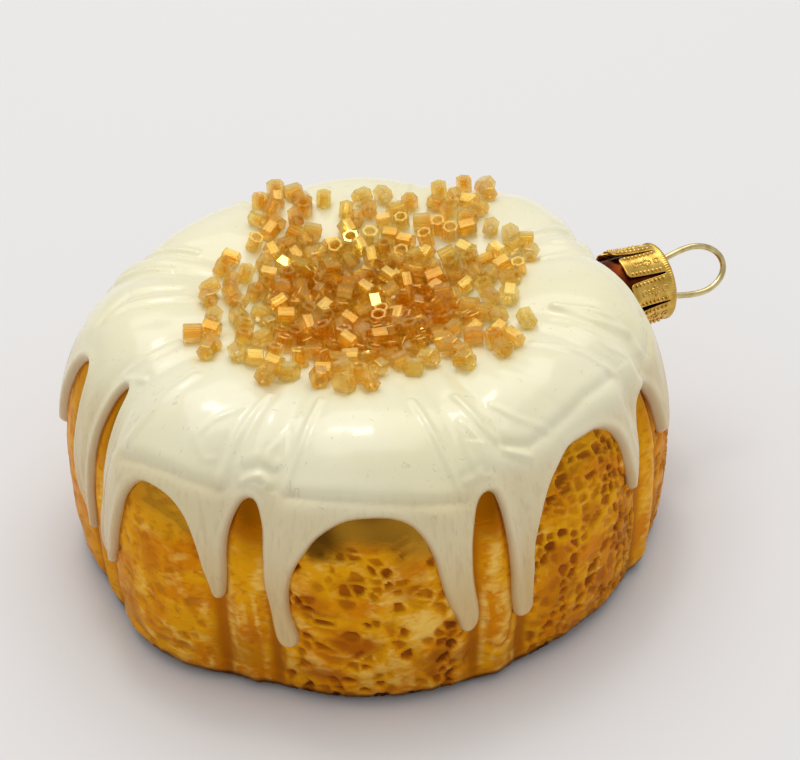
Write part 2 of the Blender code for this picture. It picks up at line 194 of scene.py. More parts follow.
@dataclass(frozen=True)
class CakeForm:
    """Moulded form of the glass: its outline, its flutes and the seat of its cap.

    Attributes:
        ribs: angle of the narrow rib in each valley; a lobe starts at each.
        swells: how far each lobe stands out of the mean outline.
    """

    max_radius: float = 39.6
    widest_height: float = 13.4
    flat_radius: float = 35.0
    base_roundness: float = 3.0
    crest_radius: float = 25.3
    crest_height: float = 35.0
    side_roundness: float = 2.4
    well_height: float = 29.4
    ribs: tuple[float, ...] = (0.0, 45.0, 90.0, 136.0, 183.0, 222.5, 270.0, 316.0)
    swells: tuple[float, ...] = (0.4, -1.9, -2.6, 0.1, 1.1, 0.0, -1.5, 0.1)
    valley_offset: float = 5.2
    lobe_power: float = 2.2
    rib_rise: float = 0.45
    base_depth: float = 0.4
    side_depth: float = 1.6
    crest_depth: float = 0.9
    cap_height: float = 25.0
    seat_x: float = 36.2
    seat_radius: float = 6.2
    seat_blend: float = 11.5

    def outline(self, station: Array) -> tuple[Array, Array]:
        """Radius and height at stations, through the middle of a lobe."""
        station = np.asarray(station, float)
        low = np.radians(np.clip(-station, 0.0, 90.0))
        high = np.radians(np.clip(station, 0.0, 90.0))
        inner = np.clip((180.0 - station) / 90.0, 0.0, 1.0)
        base = np.clip((station + 120.0) / 30.0, 0.0, 1.0)
        grow = self.max_radius - self.flat_radius
        r_low = self.flat_radius + grow * np.clip(np.cos(low), 0.0, 1.0) ** (2.0 / self.base_roundness)
        z_low = self.widest_height * (1.0 - np.sin(low) ** (2.0 / self.base_roundness))
        grow = self.max_radius - self.crest_radius
        r_side = self.crest_radius + grow * np.clip(np.cos(high), 0.0, 1.0) ** (2.0 / self.side_roundness)
        rise = self.crest_height - self.widest_height
        z_side = self.widest_height + rise * np.sin(high) ** (2.0 / self.side_roundness)
        rise = self.crest_height - self.well_height
        z_top = self.well_height + rise * (0.5 - 0.5 * np.cos(math.pi * inner))
        zones = [station <= -90.0, station <= 0.0, station <= 90.0]
        radius = np.select(zones, [self.flat_radius * base, r_low, r_side], self.crest_radius * inner)
        height = np.select(zones, [0.0 * station, z_low, z_side], z_top)
        return radius, height

    def outward(self, station: Array) -> tuple[Array, Array]:
        """Radial and upward parts of the outline's unit normal at stations."""
        station = np.asarray(station, float)
        r_low, z_low = self.outline(np.clip(station - 0.5, -90.0, 180.0))
        r_high, z_high = self.outline(np.clip(station + 0.5, -90.0, 180.0))
        along_r, along_z = r_high - r_low, z_high - z_low
        length = np.maximum(np.hypot(along_r, along_z), 1e-9)
        below = station <= -90.0
        above = station >= 180.0
        out = np.where(below | above, 0.0, along_z / length)
        up = np.where(below, -1.0, np.where(above, 1.0, -along_r / length))
        return out, up

    def lobe(self, angle: Array) -> tuple[Array, Array, Array]:
        """Lobe number at angles, how far into the lobe each is, and the lobe's span."""
        angle = np.asarray(angle, float) % 360.0
        starts = np.array(self.ribs)
        number = np.clip(np.searchsorted(starts, angle, side="right") - 1, 0, len(starts) - 1)
        spans = np.append(starts[1:], 360.0) - starts
        return number, angle - starts[number], spans[number]

    def rib_offset(self, angle: Array) -> Array:
        """Degrees from each angle to the nearest rib."""
        _, into, span = self.lobe(angle)
        return np.minimum(into, span - into)

    def flute(self, angle: Array) -> Array:
        """Depth share of the flutes: 0 on a lobe, 1 in a valley, less on the rib in it."""
        _, into, span = self.lobe(angle)
        offset = np.minimum(into, span - into)
        rib = 1.0 - self.rib_rise * np.cos(0.5 * math.pi * np.minimum(offset / self.valley_offset, 1.0)) ** 2
        share = np.clip((span / 2.0 - offset) / (span / 2.0 - self.valley_offset), 0.0, 1.0)
        return np.where(offset < self.valley_offset, rib, share ** self.lobe_power)

    def shift(self, angle: Array, station: Array) -> Array:
        """How far the flutes and the uneven lobes move the surface from the mean outline."""
        number, into, span = self.lobe(angle)
        swell = np.array(self.swells)[number] * np.sin(math.pi * into / span) * (1.0 - ease(station, 40.0, 90.0))
        side = self.base_depth + (self.side_depth - self.base_depth) * ease(station, -90.0, -20.0)
        depth = side + (self.crest_depth - side) * ease(station, 35.0, 90.0)
        return swell - depth * (1.0 - ease(station, 90.0, 135.0)) * self.flute(angle)

    def surface(self, angle: Array, station: Array, lift: Array) -> Array:
        """Points at a lift over the fluted glass.

        Args:
            angle: angles round the cake.
            station: places on the outline.
            lift: millimetres outside the glass.

        Returns:
            N by 3 points in millimetres.
        """
        radius, height = self.outline(station)
        out, up = self.outward(station)
        shift = self.shift(angle, station)
        low = np.asarray(station) < 0.0
        radius = radius + np.where(low, shift * np.minimum(1.0, radius / self.flat_radius), 0.0)
        lift = lift + np.where(low, 0.0, shift)
        radius = radius + out * lift
        height = height + up * lift
        x, y = radius * np.cos(np.radians(angle)), radius * np.sin(np.radians(angle))
        far = np.hypot(y, height - self.cap_height)
        seat = 1.0 - ease(far, self.seat_radius, self.seat_blend)
        x = x + np.where(x > self.seat_x + lift, seat * (self.seat_x + lift - x), 0.0)
        return np.stack([x, y, height], axis=-1)


@dataclass
class OutlineRuler:
    """Turns lengths along the cake's outline, from the middle of the well, into stations."""

    form: CakeForm
    stations: Array = field(init=False)
    lengths: Array = field(init=False)

    def __post_init__(self) -> None:
        """Measures the outline once."""
        self.stations = np.arange(180.0, -90.01, -0.25)
        radius, height = self.form.outline(self.stations)
        steps = np.hypot(np.diff(radius), np.diff(height))
        self.lengths = np.concatenate([[0.0], np.cumsum(steps)])

    def length(self, station: Array) -> Array:
        """Length from the middle of the well down to stations."""
        return np.interp(-np.asarray(station, float), -self.stations, self.lengths)

    def station(self, length: Array) -> Array:
        """Stations at lengths from the middle of the well."""
        return np.interp(length, self.lengths, self.stations)

    def length_at_height(self, height: Array) -> Array:
        """Length down to heights on the side of the cake."""
        side = self.stations <= 90.0
        return np.interp(-np.asarray(height, float), -self.form.outline(self.stations[side])[1], self.lengths[side])

    def length_at_radius(self, radius: Array) -> Array:
        """Length out to radii on the top and the shoulder of the cake."""
        top = self.stations >= 0.0
        return np.interp(radius, self.form.outline(self.stations[top])[0], self.lengths[top])


FORM = CakeForm()
RULER = OutlineRuler(FORM)


@dataclass(frozen=True)
class Wrinkle:
    """One line of the moulded relief, drawn on the cake's surface.

    Attributes:
        places: angles and stations that the line runs through.
        mould: profile across the line.
        height: how far it stands out or in.
        width: half its width in millimetres.
    """

    places: tuple[tuple[float, float], ...]
    mould: Mould = Mould.RIDGE
    height: float = 0.26
    width: float = 0.45

    def away(self, angle: Array, length: Array, radius: Array) -> tuple[Array, Array]:
        """Millimetres from places to the line, and the same signed plus towards the crest."""
        near = np.full(angle.shape, 99.0)
        signed = np.full(angle.shape, 99.0)
        ends = [(a, float(RULER.length(s))) for a, s in self.places]
        scale = np.radians(radius)
        for (a0, l0), (a1, l1) in zip(ends[:-1], ends[1:]):
            ax, ay = wrapped(a0 - angle) * scale, l0 - length
            dx, dy = (a1 - a0) * scale, l1 - l0
            share = np.clip(-(ax * dx + ay * dy) / np.maximum(dx * dx + dy * dy, 1e-9), 0.0, 1.0)
            away = np.hypot(ax + share * dx, ay + share * dy)
            side = np.where(dx * ay - dy * ax > 0.0, 1.0, -1.0)
            signed = np.where(away < near, away * side, signed)
            near = np.minimum(near, away)
        return near, signed

    def relief(self, angle: Array, length: Array) -> Array:
        """Lift of the surface at places, 0 away from the line."""
        result = np.zeros(angle.shape)
        middle = 0.5 * (min(a for a, _ in self.places) + max(a for a, _ in self.places))
        half = 0.5 * (max(a for a, _ in self.places) - min(a for a, _ in self.places)) + 9.0
        lengths = [float(RULER.length(s)) for _, s in self.places]
        close = (np.abs(wrapped(angle - middle)) < half) & (length > min(lengths) - 6.0)
        close &= length < max(lengths) + 6.0
        if not close.any():
            return result
        angle, length = angle[close], length[close]
        radius = np.maximum(FORM.outline(RULER.station(length))[0], 1.0)
        near, signed = self.away(angle, length, radius)
        if self.mould is Mould.RIDGE:
            lift = hump(near, 0.0, self.width) - 0.22 * hump(near, 2.2 * self.width, self.width)
        elif self.mould is Mould.GROOVE:
            lift = 0.25 * hump(near, 2.2 * self.width, self.width) - hump(near, 0.0, self.width)
        else:
            lift = 0.75 * hump(signed, -3.4 * self.width, 2.6 * self.width)
            lift += 0.35 * hump(signed, 2.2 * self.width, 1.6 * self.width) - hump(signed, 0.0, self.width)
            lift *= hump(near - np.abs(signed), 0.0, 0.5)
        result[close] = self.height * lift
        return result


class NodeSheet:
    """Procedural Principled material laid out node by node."""

    def __init__(self, name: str) -> None:
        """Starts an empty material with its shader and output."""
        self.material = bpy.data.materials.new(name)
        self.material.use_nodes = True
        self.tree = self.material.node_tree
        self.shader = self.tree.nodes["Principled BSDF"]

    def _set(self, socket: bpy.types.NodeSocket, value: object) -> None:
        """Links a socket or sets its plain value."""
        if isinstance(value, bpy.types.NodeSocket):
            self.tree.links.new(value, socket)
        else:
            socket.default_value = value

    def principled(self, **values: object) -> "NodeSheet":
        """Sets the shader's sockets, by their names with _ for spaces."""
        for name, value in values.items():
            title = name.replace("_", " ").title().replace("Ior", "IOR")
            self._set(self.shader.inputs[title], value)
        return self

    def attribute(self, name: str) -> bpy.types.NodeSocket:
        """Number stored on the piece's corners."""
        node = self.tree.nodes.new("ShaderNodeAttribute")
        node.attribute_name = name
        return node.outputs["Fac"]

    def place(self, scale: tuple[float, float, float] = (1.0, 1.0, 1.0)) -> bpy.types.NodeSocket:
        """Object coordinates, stretched."""
        coords = self.tree.nodes.new("ShaderNodeTexCoord")
        mapping = self.tree.nodes.new("ShaderNodeMapping")
        mapping.inputs["Scale"].default_value = scale
        self.tree.links.new(coords.outputs["Object"], mapping.inputs["Vector"])
        return mapping.outputs["Vector"]

    def noise(self, place: bpy.types.NodeSocket, scale: float, detail: float = 3.0,
              distortion: float = 0.0) -> bpy.types.NodeSocket:
        """Fractal noise from 0 to 1."""
        node = self.tree.nodes.new("ShaderNodeTexNoise")
        node.inputs["Scale"].default_value = scale
        node.inputs["Detail"].default_value = detail
        node.inputs["Distortion"].default_value = distortion
        self.tree.links.new(place, node.inputs["Vector"])
        return node.outputs["Fac"]

    def math(self, operation: str, first: object, second: object = 0.0) -> bpy.types.NodeSocket:
        """Result of one sum on numbers or sockets, kept between 0 and 1."""
        node = self.tree.nodes.new("ShaderNodeMath")
        node.operation = operation
        node.use_clamp = True
        self._set(node.inputs[0], first)
        self._set(node.inputs[1], second)
        return node.outputs["Value"]

    def spread(self, value: bpy.types.NodeSocket, low: float, high: float,
               to_low: float = 0.0, to_high: float = 1.0) -> bpy.types.NodeSocket:
        """Eases a value between two marks."""
        node = self.tree.nodes.new("ShaderNodeMapRange")
        node.interpolation_type = "SMOOTHSTEP"
        for name, number in zip(("From Min", "From Max", "To Min", "To Max"), (low, high, to_low, to_high)):
            node.inputs[name].default_value = number
        self.tree.links.new(value, node.inputs["Value"])
        return node.outputs["Result"]

    def mix(self, share: object, first: object, second: object, blend: str = "MIX") -> bpy.types.NodeSocket:
        """Mix of two colours."""
        node = self.tree.nodes.new("ShaderNodeMix")
        node.data_type = "RGBA"
        node.blend_type = blend
        self._set(node.inputs["Factor"], share)
        self._set([s for s in node.inputs if s.name == "A" and s.type == "RGBA"][0], first)
        self._set([s for s in node.inputs if s.name == "B" and s.type == "RGBA"][0], second)
        return [s for s in node.outputs if s.type == "RGBA"][0]

    def bump(self, height: bpy.types.NodeSocket, strength: float, distance: float) -> bpy.types.NodeSocket:
        """Normal roughened by a height, the distance in millimetres."""
        node = self.tree.nodes.new("ShaderNodeBump")
        node.inputs["Strength"].default_value = strength
        node.inputs["Distance"].default_value = distance * MM
        self.tree.links.new(height, node.inputs["Height"])
        return node.outputs["Normal"]


Colour = tuple[float, float, float, float]


@dataclass(frozen=True)
class LacquerFinish:
    """Gold lacquer over silvered glass, rubbed with ochre and cream, with painted shade in its creases, pits, rib gaps
    and foot, painted highlight on its raised parts and painted dark reflection on its mirror.
    """

    amber: Colour = (0.70, 0.235, 0.001, 1.0)
    gold: Colour = (0.80, 0.360, 0.003, 1.0)
    # cream: rubbed paint; on the raised walls, lumps and wave crests it is also painted highlight.
    cream: Colour = (0.93, 0.600, 0.130, 1.0)
    rust: Colour = (0.46, 0.120, 0.002, 1.0)
    # pit: darker colour of the pits; its darkening with depth is partly the pits' own colour, partly painted shade.
    pit: Colour = (0.36, 0.085, 0.001, 1.0)
    # groove: painted shade in the rib creases and in the gaps under the icing.
    groove: Colour = (0.44, 0.130, 0.001, 1.0)
    # olive is painted dark reflection on the mirror zone; mirror_gold is the lacquer's gold, dimmed as painted
    # reflection of dark surroundings.
    olive_painted_reflection: Colour = (0.15, 0.062, 0.005, 1.0)
    mirror_gold: Colour = (0.50, 0.235, 0.020, 1.0)
    edge_tint: Colour = (1.0, 0.76, 0.36, 1.0)
    # dark: deep painted shade, in the deepest pits, the darkest creases and the band along the foot.
    deep_painted_shade: Colour = (0.10, 0.022, 0.001, 1.0)

    def material(self) -> bpy.types.Material:
        """Builds the material."""
        sheet = NodeSheet("gold_lacquer")
        broad = sheet.noise(sheet.place((1.0, 1.0, 1.5)), 130.0, 3.0, 0.5)
        fine = sheet.noise(sheet.place((1.0, 1.0, 2.0)), 560.0, 4.0, 0.8)
        mottle = sheet.noise(sheet.place((1.0, 1.0, 1.6)), 820.0, 2.0, 0.4)
        colour = sheet.mix(sheet.spread(broad, 0.38, 0.60), self.amber, self.gold)
        colour = sheet.mix(sheet.spread(mottle, 0.50, 0.70, 0.0, 0.45), colour, self.rust)
        # Cream from the rub mark: rubbed paint, and painted highlight on the raised walls, lumps and wave crests.
        patchy = sheet.math("ADD", sheet.attribute("rub"), sheet.spread(fine, 0.3, 0.8, -0.30, 0.30))
        colour = sheet.mix(sheet.spread(patchy, 0.15, 0.95, 0.0, 0.85), colour, self.cream)
        colour = sheet.mix(sheet.attribute("stain"), colour, self.rust)
        # Pits and wave troughs darken by the crumb mark: partly their own colour, partly painted shade; the deepest
        # pits take the deep painted shade.
        colour = sheet.mix(sheet.spread(sheet.attribute("crumb"), 0.05, 0.75), colour, self.pit)
        colour = sheet.mix(sheet.spread(sheet.attribute("crumb"), 0.62, 0.95, 0.0, 0.7), colour, self.deep_painted_shade)
        mirror = sheet.attribute("mirror")
        patches = sheet.noise(sheet.place((1.0, 1.0, 1.5)), 75.0, 1.0, 0.6)
        # Mirror zone colour: the lacquer's gold dimmed, with olive patches of painted dark reflection.
        mirror_painted_reflection = sheet.mix(sheet.spread(patches, 0.40, 0.62), self.mirror_gold, self.olive_painted_reflection)
        colour = sheet.mix(mirror, colour, mirror_painted_reflection)
        # Painted shade from the crease mark: the rib creases, the gaps under the icing and the band along the foot.
        crease = sheet.attribute("crease")
        colour = sheet.mix(sheet.spread(crease, 0.0, 0.6), colour, self.groove)
        colour = sheet.mix(sheet.spread(crease, 0.6, 1.0), colour, self.deep_painted_shade)
        metal = sheet.spread(mirror, 0.0, 1.0, 0.65, 1.0)
        rough = sheet.spread(mirror, 0.0, 1.0, 0.28, 0.12)
        sheet.principled(base_color=colour, metallic=metal, roughness=rough, specular_ior_level=0.25,
                         specular_tint=self.edge_tint, normal=sheet.bump(fine, 0.35, 0.12))
        return sheet.material


@dataclass(frozen=True)
class IcingFinish:
    """Thick glossy cream enamel, thinner and darker down the drips and along its edge, partly painted shade."""

    cream: Colour = (0.89, 0.83, 0.55, 1.0)
    ivory: Colour = (0.91, 0.86, 0.61, 1.0)
    thin_with_painted_shade: Colour = (0.70, 0.47, 0.17, 1.0)
    blush_and_painted_edge_shade: Colour = (0.60, 0.39, 0.18, 1.0)
    grey: Colour = (0.42, 0.36, 0.22, 1.0)

    def material(self) -> bpy.types.Material:
        """Builds the material."""
        sheet = NodeSheet("cream_enamel")
        broad = sheet.noise(sheet.place(), 70.0, 2.0)
        colour = sheet.mix(sheet.spread(broad, 0.35, 0.65), self.cream, self.ivory)
        # Darker tan lower down, from the drip mark: thinner enamel over the amber glass, and painted shade on the
        # collar, sides and drips.
        colour = sheet.mix(sheet.attribute("drip"), colour, self.thin_with_painted_shade)
        # The rim mark is painted shade along the icing's edge, where it meets the glass, over the thin edge's own tan.
        colour = sheet.mix(sheet.attribute("rim"), colour, self.blush_and_painted_edge_shade)
        runs = sheet.noise(sheet.place((1.0, 1.0, 0.14)), 1500.0, 2.0, 0.2)
        run_share = sheet.math("MULTIPLY", sheet.attribute("drip"), sheet.spread(runs, 0.48, 0.72, 0.0, 0.55))
        colour = sheet.mix(run_share, colour, self.blush_and_painted_edge_shade)
        scratch = sheet.noise(sheet.place((1.0, 1.0, 0.35)), 900.0, 2.0, 1.5)
        marks = sheet.math("MULTIPLY", sheet.spread(scratch, 0.66, 0.74), 0.25)
        colour = sheet.mix(marks, colour, self.grey)
        waves = sheet.noise(sheet.place(), 260.0, 2.0, 0.3)
        sheet.principled(base_color=colour, roughness=0.24, coat_weight=0.35, coat_roughness=0.08,
                         subsurface_weight=0.12, subsurface_radius=(0.6, 0.5, 0.3), subsurface_scale=0.0015,
                         normal=sheet.bump(waves, 0.25, 0.10))
        return sheet.material


@dataclass(frozen=True)
class BeadFinish:
    """Honey-coloured glass beads lined with gold.

    Attributes:
        honey: paler of the two glass colours.
        amber: deeper of the two.
        lining: share of bright gold lining.
        transmission: share of the glass that lets light through.
        cover: how much of what lies behind a bead it hides.
    """

    honey: Colour = (1.0, 0.73, 0.10, 1.0)
    amber: Colour = (1.0, 0.57, 0.015, 1.0)
    lining: float = 0.28
    transmission: float = 0.85
    cover: float = 0.70

    def material(self) -> bpy.types.Material:
        """Builds the material."""
        sheet = NodeSheet("honey_glass")
        tone = sheet.noise(sheet.place(), 160.0, 1.0)
        colour = sheet.mix(sheet.spread(tone, 0.35, 0.65), self.honey, self.amber)
        sheet.principled(base_color=colour, metallic=self.lining, roughness=0.06, ior=1.20, alpha=self.cover,
                         transmission_weight=self.transmission, coat_weight=0.8, coat_roughness=0.02, coat_ior=1.6)
        return sheet.material


@dataclass(frozen=True)
class CoreFinish:
    """Deep amber where beads and clear glue lie several deep."""

    amber: Colour = (1.0, 0.55, 0.040, 1.0)
    glow: Colour = (1.0, 0.72, 0.150, 1.0)

    def material(self) -> bpy.types.Material:
        """Builds the material."""
        sheet = NodeSheet("amber_depth")
        tone = sheet.noise(sheet.place(), 420.0, 2.0)
        colour = sheet.mix(sheet.spread(tone, 0.40, 0.62), self.amber, self.glow)
        sheet.principled(base_color=colour, roughness=0.18, coat_weight=0.5, coat_roughness=0.1)
        return sheet.material


@dataclass(frozen=True)
class MetalFinish:
    """Bright metal with a little wear.

    Attributes:
        name: name of the material.
        colour: bright colour.
        shade: colour of its duller patches.
        roughness: lowest and highest roughness.
    """

    name: str
    colour: Colour
    shade: Colour
    roughness: tuple[float, float]

    def material(self) -> bpy.types.Material:
        """Builds the material."""
        sheet = NodeSheet(self.name)
        wear = sheet.noise(sheet.place(), 700.0, 3.0)
        colour = sheet.mix(sheet.spread(wear, 0.38, 0.66), self.colour, self.shade)
        rough = sheet.spread(wear, 0.3, 0.7, *self.roughness)
        sheet.principled(base_color=colour, metallic=1.0, roughness=rough,
                         normal=sheet.bump(wear, 0.12, 0.05))
        return sheet.material


CAP_FINISH = MetalFinish("embossed_gold", (0.80, 0.52, 0.12, 1.0), (0.60, 0.36, 0.06, 1.0), (0.14, 0.26))
WIRE_FINISH = MetalFinish("pale_wire", (0.76, 0.63, 0.32, 1.0), (0.58, 0.46, 0.20, 1.0), (0.12, 0.22))
# The glass neck is given a near-black red-brown metal: painted shade under the cap's tabs.
NECK_PAINTED_SHADE_FINISH = MetalFinish("neck_painted_shade", (0.16, 0.030, 0.006, 1.0), (0.10, 0.018, 0.004, 1.0), (0.25, 0.4))


def ring_faces(rows: int, columns: int) -> list[tuple[int, ...]]:
    """Faces of a round mesh of rows of corners between a first and a last pole.

    Args:
        rows: rings of corners between the poles; corner 0 is the top pole and the last the bottom.
        columns: corners in a ring, counter-clockwise from above.

    Returns:
        Corner numbers of the faces, counter-clockwise from outside.
    """
    step = np.arange(columns)
    after = (step + 1) % columns
    faces: list[tuple[int, ...]] = [(0, 1 + a, 1 + b) for a, b in zip(step, after)]
    for row in range(rows - 1):
        high, low = 1 + row * columns, 1 + (row + 1) * columns
        faces += [(high + a, low + a, low + b, high + b) for a, b in zip(step, after)]
    last, pole = 1 + (rows - 1) * columns, 1 + rows * columns
    faces += [(last + b, last + a, pole) for a, b in zip(step, after)]
    return faces


@dataclass(frozen=True)
class LobeLook:
    """How one lobe is moulded and lacquered.

    Attributes:
        crumb: pitted or brushed glass.
        sheen: how much smooth mirror it keeps under the icing.
        holes: share of its crumb cells that are pits.
    """

    crumb: Crumb
    sheen: float
    holes: float = 0.62


@dataclass(frozen=True)
class Stain:
    """Rust-coloured patch of the lacquer, by its middle, half width and half height."""

    angle: float
    height: float
    half_width: float
    half_height: float
    strength: float


@dataclass
class GlassCake:
    """Moulded glass with its ribs, crumb and neck.

    Attributes:
        looks: how each lobe looks, from the one that starts at angle 0.
    """

    columns: int = 720
    row_step: float = 0.36
    looks: tuple[LobeLook, ...] = (
        LobeLook(Crumb.PITTED, 0.6), LobeLook(Crumb.BRUSHED, 0.5), LobeLook(Crumb.PITTED, 0.9),
        LobeLook(Crumb.BRUSHED, 0.5), LobeLook(Crumb.BRUSHED, 0.7), LobeLook(Crumb.PITTED, 1.0, 0.60),
        LobeLook(Crumb.PITTED, 0.15, 0.86), LobeLook(Crumb.PITTED, 0.5, 0.76),
    )
    stains: tuple[Stain, ...] = (
        Stain(-117.0, 10.0, 3.4, 1.5, 1.0), Stain(-123.0, 5.3, 4.0, 1.3, 0.8), Stain(-107.5, 18.5, 3.0, 1.6, 0.5),
        Stain(-117.5, 19.5, 2.0, 1.2, 0.5), Stain(-125.5, 16.0, 2.2, 2.0, 0.5), Stain(-99.5, 6.5, 3.0, 1.4, 0.6),
        Stain(-77.5, 16.0, 2.0, 2.4, 0.6), Stain(-76.5, 10.5, 2.6, 2.2, 0.6), Stain(-68.0, 19.0, 2.4, 1.8, 0.6),
        Stain(-58.0, 14.0, 2.6, 3.0, 0.6), Stain(-64.0, 7.5, 3.0, 1.6, 0.5), Stain(-156.0, 18.0, 1.8, 3.4, 0.4),
        Stain(-161.0, 9.0, 1.8, 4.0, 0.5), Stain(-143.0, 6.0, 2.0, 3.0, 0.5), Stain(-136.5, 8.0, 1.4, 4.0, 0.5),
    )
    far_stains: int = 26
    folds: tuple[Wrinkle, ...] = (
        Wrinkle(((-93.4, -6.0), (-92.2, -22.0), (-90.2, -28.0), (-88.0, -22.0), (-86.8, -6.0)),
                Mould.GROOVE, 0.22, 0.42),
        Wrinkle(((-91.0, -14.0), (-89.6, -16.0)), Mould.GROOVE, 0.24, 0.45),
        Wrinkle(((-139.0, 2.0), (-138.0, -30.0), (-136.8, -60.0)), Mould.RIDGE, 0.20, 0.60),
        Wrinkle(((-161.0, 22.0), (-157.0, 27.0), (-151.0, 25.0), (-146.0, 17.0), (-144.5, 9.0)),
                Mould.RIDGE, 0.16, 0.50),
        Wrinkle(((-177.0, 20.0), (-175.6, 0.0), (-176.4, -40.0)), Mould.RIDGE, 0.18, 0.55),
    )
    cells_round: int = 132
    cell_height: float = 1.60
    pit_depth: tuple[float, float] = (0.08, 0.52)
    shaded_ribs: tuple[float, ...] = (-137.5, -90.0, 45.0)
    crease_depth: float = 0.26
    hem_height: float = 3.4
    hem_rise: float = 0.22
    neck_radius: float = 4.5
    neck_ends: tuple[float, float] = (34.0, 43.3)
    bore_radius: float = 3.3
    bore_depth: float = 5.0
    seed: int = 11

    def rows(self) -> Array:
        """Lengths from the middle of the well of the rows on the cake's top and side."""
        start = float(RULER.length(82.0))
        hidden = RULER.length(np.array([150.0, 125.0, 104.0, 92.0]))
        side = np.arange(start, float(RULER.lengths[-1]), self.row_step)
        return np.concatenate([hidden, side, [RULER.lengths[-1]]])

    def cells(self, turn: Array, along: Array) -> tuple[Array, Array]:
        """Crumb cells of uneven shape, on a jittered lattice that closes round the cake.

        Args:
            turn: angles of the places.
            along: lengths of the places.

        Returns:
            How clear each place is of its cell's wall, from 0 on the wall, and the cell's own number
            from 0 to 1.
        """
        rng = np.random.default_rng(self.seed)
        rows = 64
        jitter = rng.uniform(0.12, 0.88, (self.cells_round, rows, 2))
        own = rng.uniform(0.0, 1.0, (self.cells_round, rows))
        u, v = turn / 360.0 * self.cells_round, along / self.cell_height
        warp = turn / 360.0 * 46.0
        u = u + 0.75 * lattice(warp, along * 0.19, 51, 46)
        v = v + 0.75 * lattice(warp, along * 0.19, 52, 46)
        iu, iv = np.floor(u).astype(int), np.floor(v).astype(int)
        first, second = np.full(u.shape, 9.0), np.full(u.shape, 9.0)
        number = np.zeros(u.shape)
        for du in (-1, 0, 1):
            for dv in (-1, 0, 1):
                a, b = (iu + du) % self.cells_round, (iv + dv) % rows
                x = iu + du + jitter[a, b, 0] - u
                y = iv + dv + jitter[a, b, 1] - v
                away = np.hypot(x, y)
                nearer = away < first
                second = np.where(nearer, first, np.minimum(second, away))
                number = np.where(nearer, own[a, b], number)
                first = np.where(nearer, away, first)
        return second - first, number

    def relief(self, angle: Array, length: Array) -> dict[str, Array]:
        """Relief over the moulded form and what the finish needs, on rows by columns."""
        turn, along = np.meshgrid(angle, length)
        station = RULER.station(along)
        radius, height = FORM.outline(station)
        clear, number = self.cells(turn, along)
        share = turn / 360.0
        lobe, into, span = FORM.lobe(turn)
        rough, sheen, holes = (np.array(values)[lobe] for values in zip(
            *((look.crumb.value, look.sheen, look.holes) for look in self.looks)))
        offset = np.minimum(into, span - into)
        on_lobe = ease(offset, 6.0, 8.0)
        slow = lattice(share * 90.0, along * 0.33, 6, 90)
        drift = lattice(share * 36.0, along * 0.15, 9, 36)
        low, high = self.pit_depth
        pit = np.where(number < holes, number / holes, 0.0) * (0.85 + 0.30 * drift) * rough * on_lobe
        deep = (low + (high - low) * pit) * ease(pit, 0.0, 0.15)
        inside = ease(clear, 0.03, 0.42)
        wall = (1.0 - ease(clear, 0.0, 0.40)) * rough * on_lobe
        lump = np.where(number > holes, ease(clear, 0.0, 0.35), 0.0) * rough * on_lobe
        far_side = on_lobe * ease(into / span, 0.52, 0.74)
        wave = lattice(share * 250.0 + 2.0 * slow, along * 0.26, 12, 250) * far_side * rough
        millimetre = np.degrees(1.0 / np.maximum(radius, 1.0))
        # Painted shade along each rib's valley line, where the glass is also creased.
        crease = hump(offset, FORM.valley_offset, 1.0 * millimetre) * ease(height, 0.6, 3.0)
        shaded = sum(hump(wrapped(turn - rib), 0.0, 6.0) for rib in self.shaded_ribs)
        # Painted shade at the top of the rib valleys under the icing's edge, strongest by the shaded ribs.
        gap_painted_shade = (1.0 - ease(offset, 3.6, 5.4)) * ease(height + 1.6 * slow, 19.0, 27.0) * (0.25 + 0.75 * shaded)
        grain = lattice(share * 300.0, along * 1.9, 5, 300)
        comb = lattice(share * 330.0 + 1.2 * slow, along * 0.16, 10, 330)
        brush = lattice(share * 170.0 - along * 0.42 + 0.8 * slow, along * 0.55 + share * 60.0, 7, 170)
        brushed = (1.0 - rough) * on_lobe
        lift = self.hem_rise * ease(height, 0.0, 1.2)
        lift = lift * (1.0 - ease(height, self.hem_height - 0.6, self.hem_height + 0.4))
        calm = 1.0 - 0.80 * ease(height, 20.0, 24.5) * sheen
        lift += calm * (0.03 * grain + 0.08 * slow + 0.10 * brush * brushed + 0.04 * wall + 0.07 * lump + 0.17 * wave)
        lift += 0.05 * comb * (1.0 - on_lobe)
        lift -= calm * deep * inside + self.crease_depth * crease
        for fold in self.folds:
            lift += fold.relief(turn, along)
        lift *= ease(height, 0.0, 0.6)
        # Painted shade: a dark band over the lowest 1.3 to 2.3 mm of the glass, along the foot.
        edge = 1.0 - ease(height + 0.20 * slow, 1.3, 2.3)
        upper = ease(height + 1.8 * slow, 21.5, 25.5) * sheen
        patch = ease(lattice(share * 48.0, along * 0.24, 8, 48), -0.35, 0.65)
        strokes = (0.42 + 0.55 * brush) * (0.35 + 0.65 * patch) * brushed
        combed = (0.38 + 0.55 * comb) * (1.0 - on_lobe) * (1.0 - ease(offset, 3.6, 5.0))
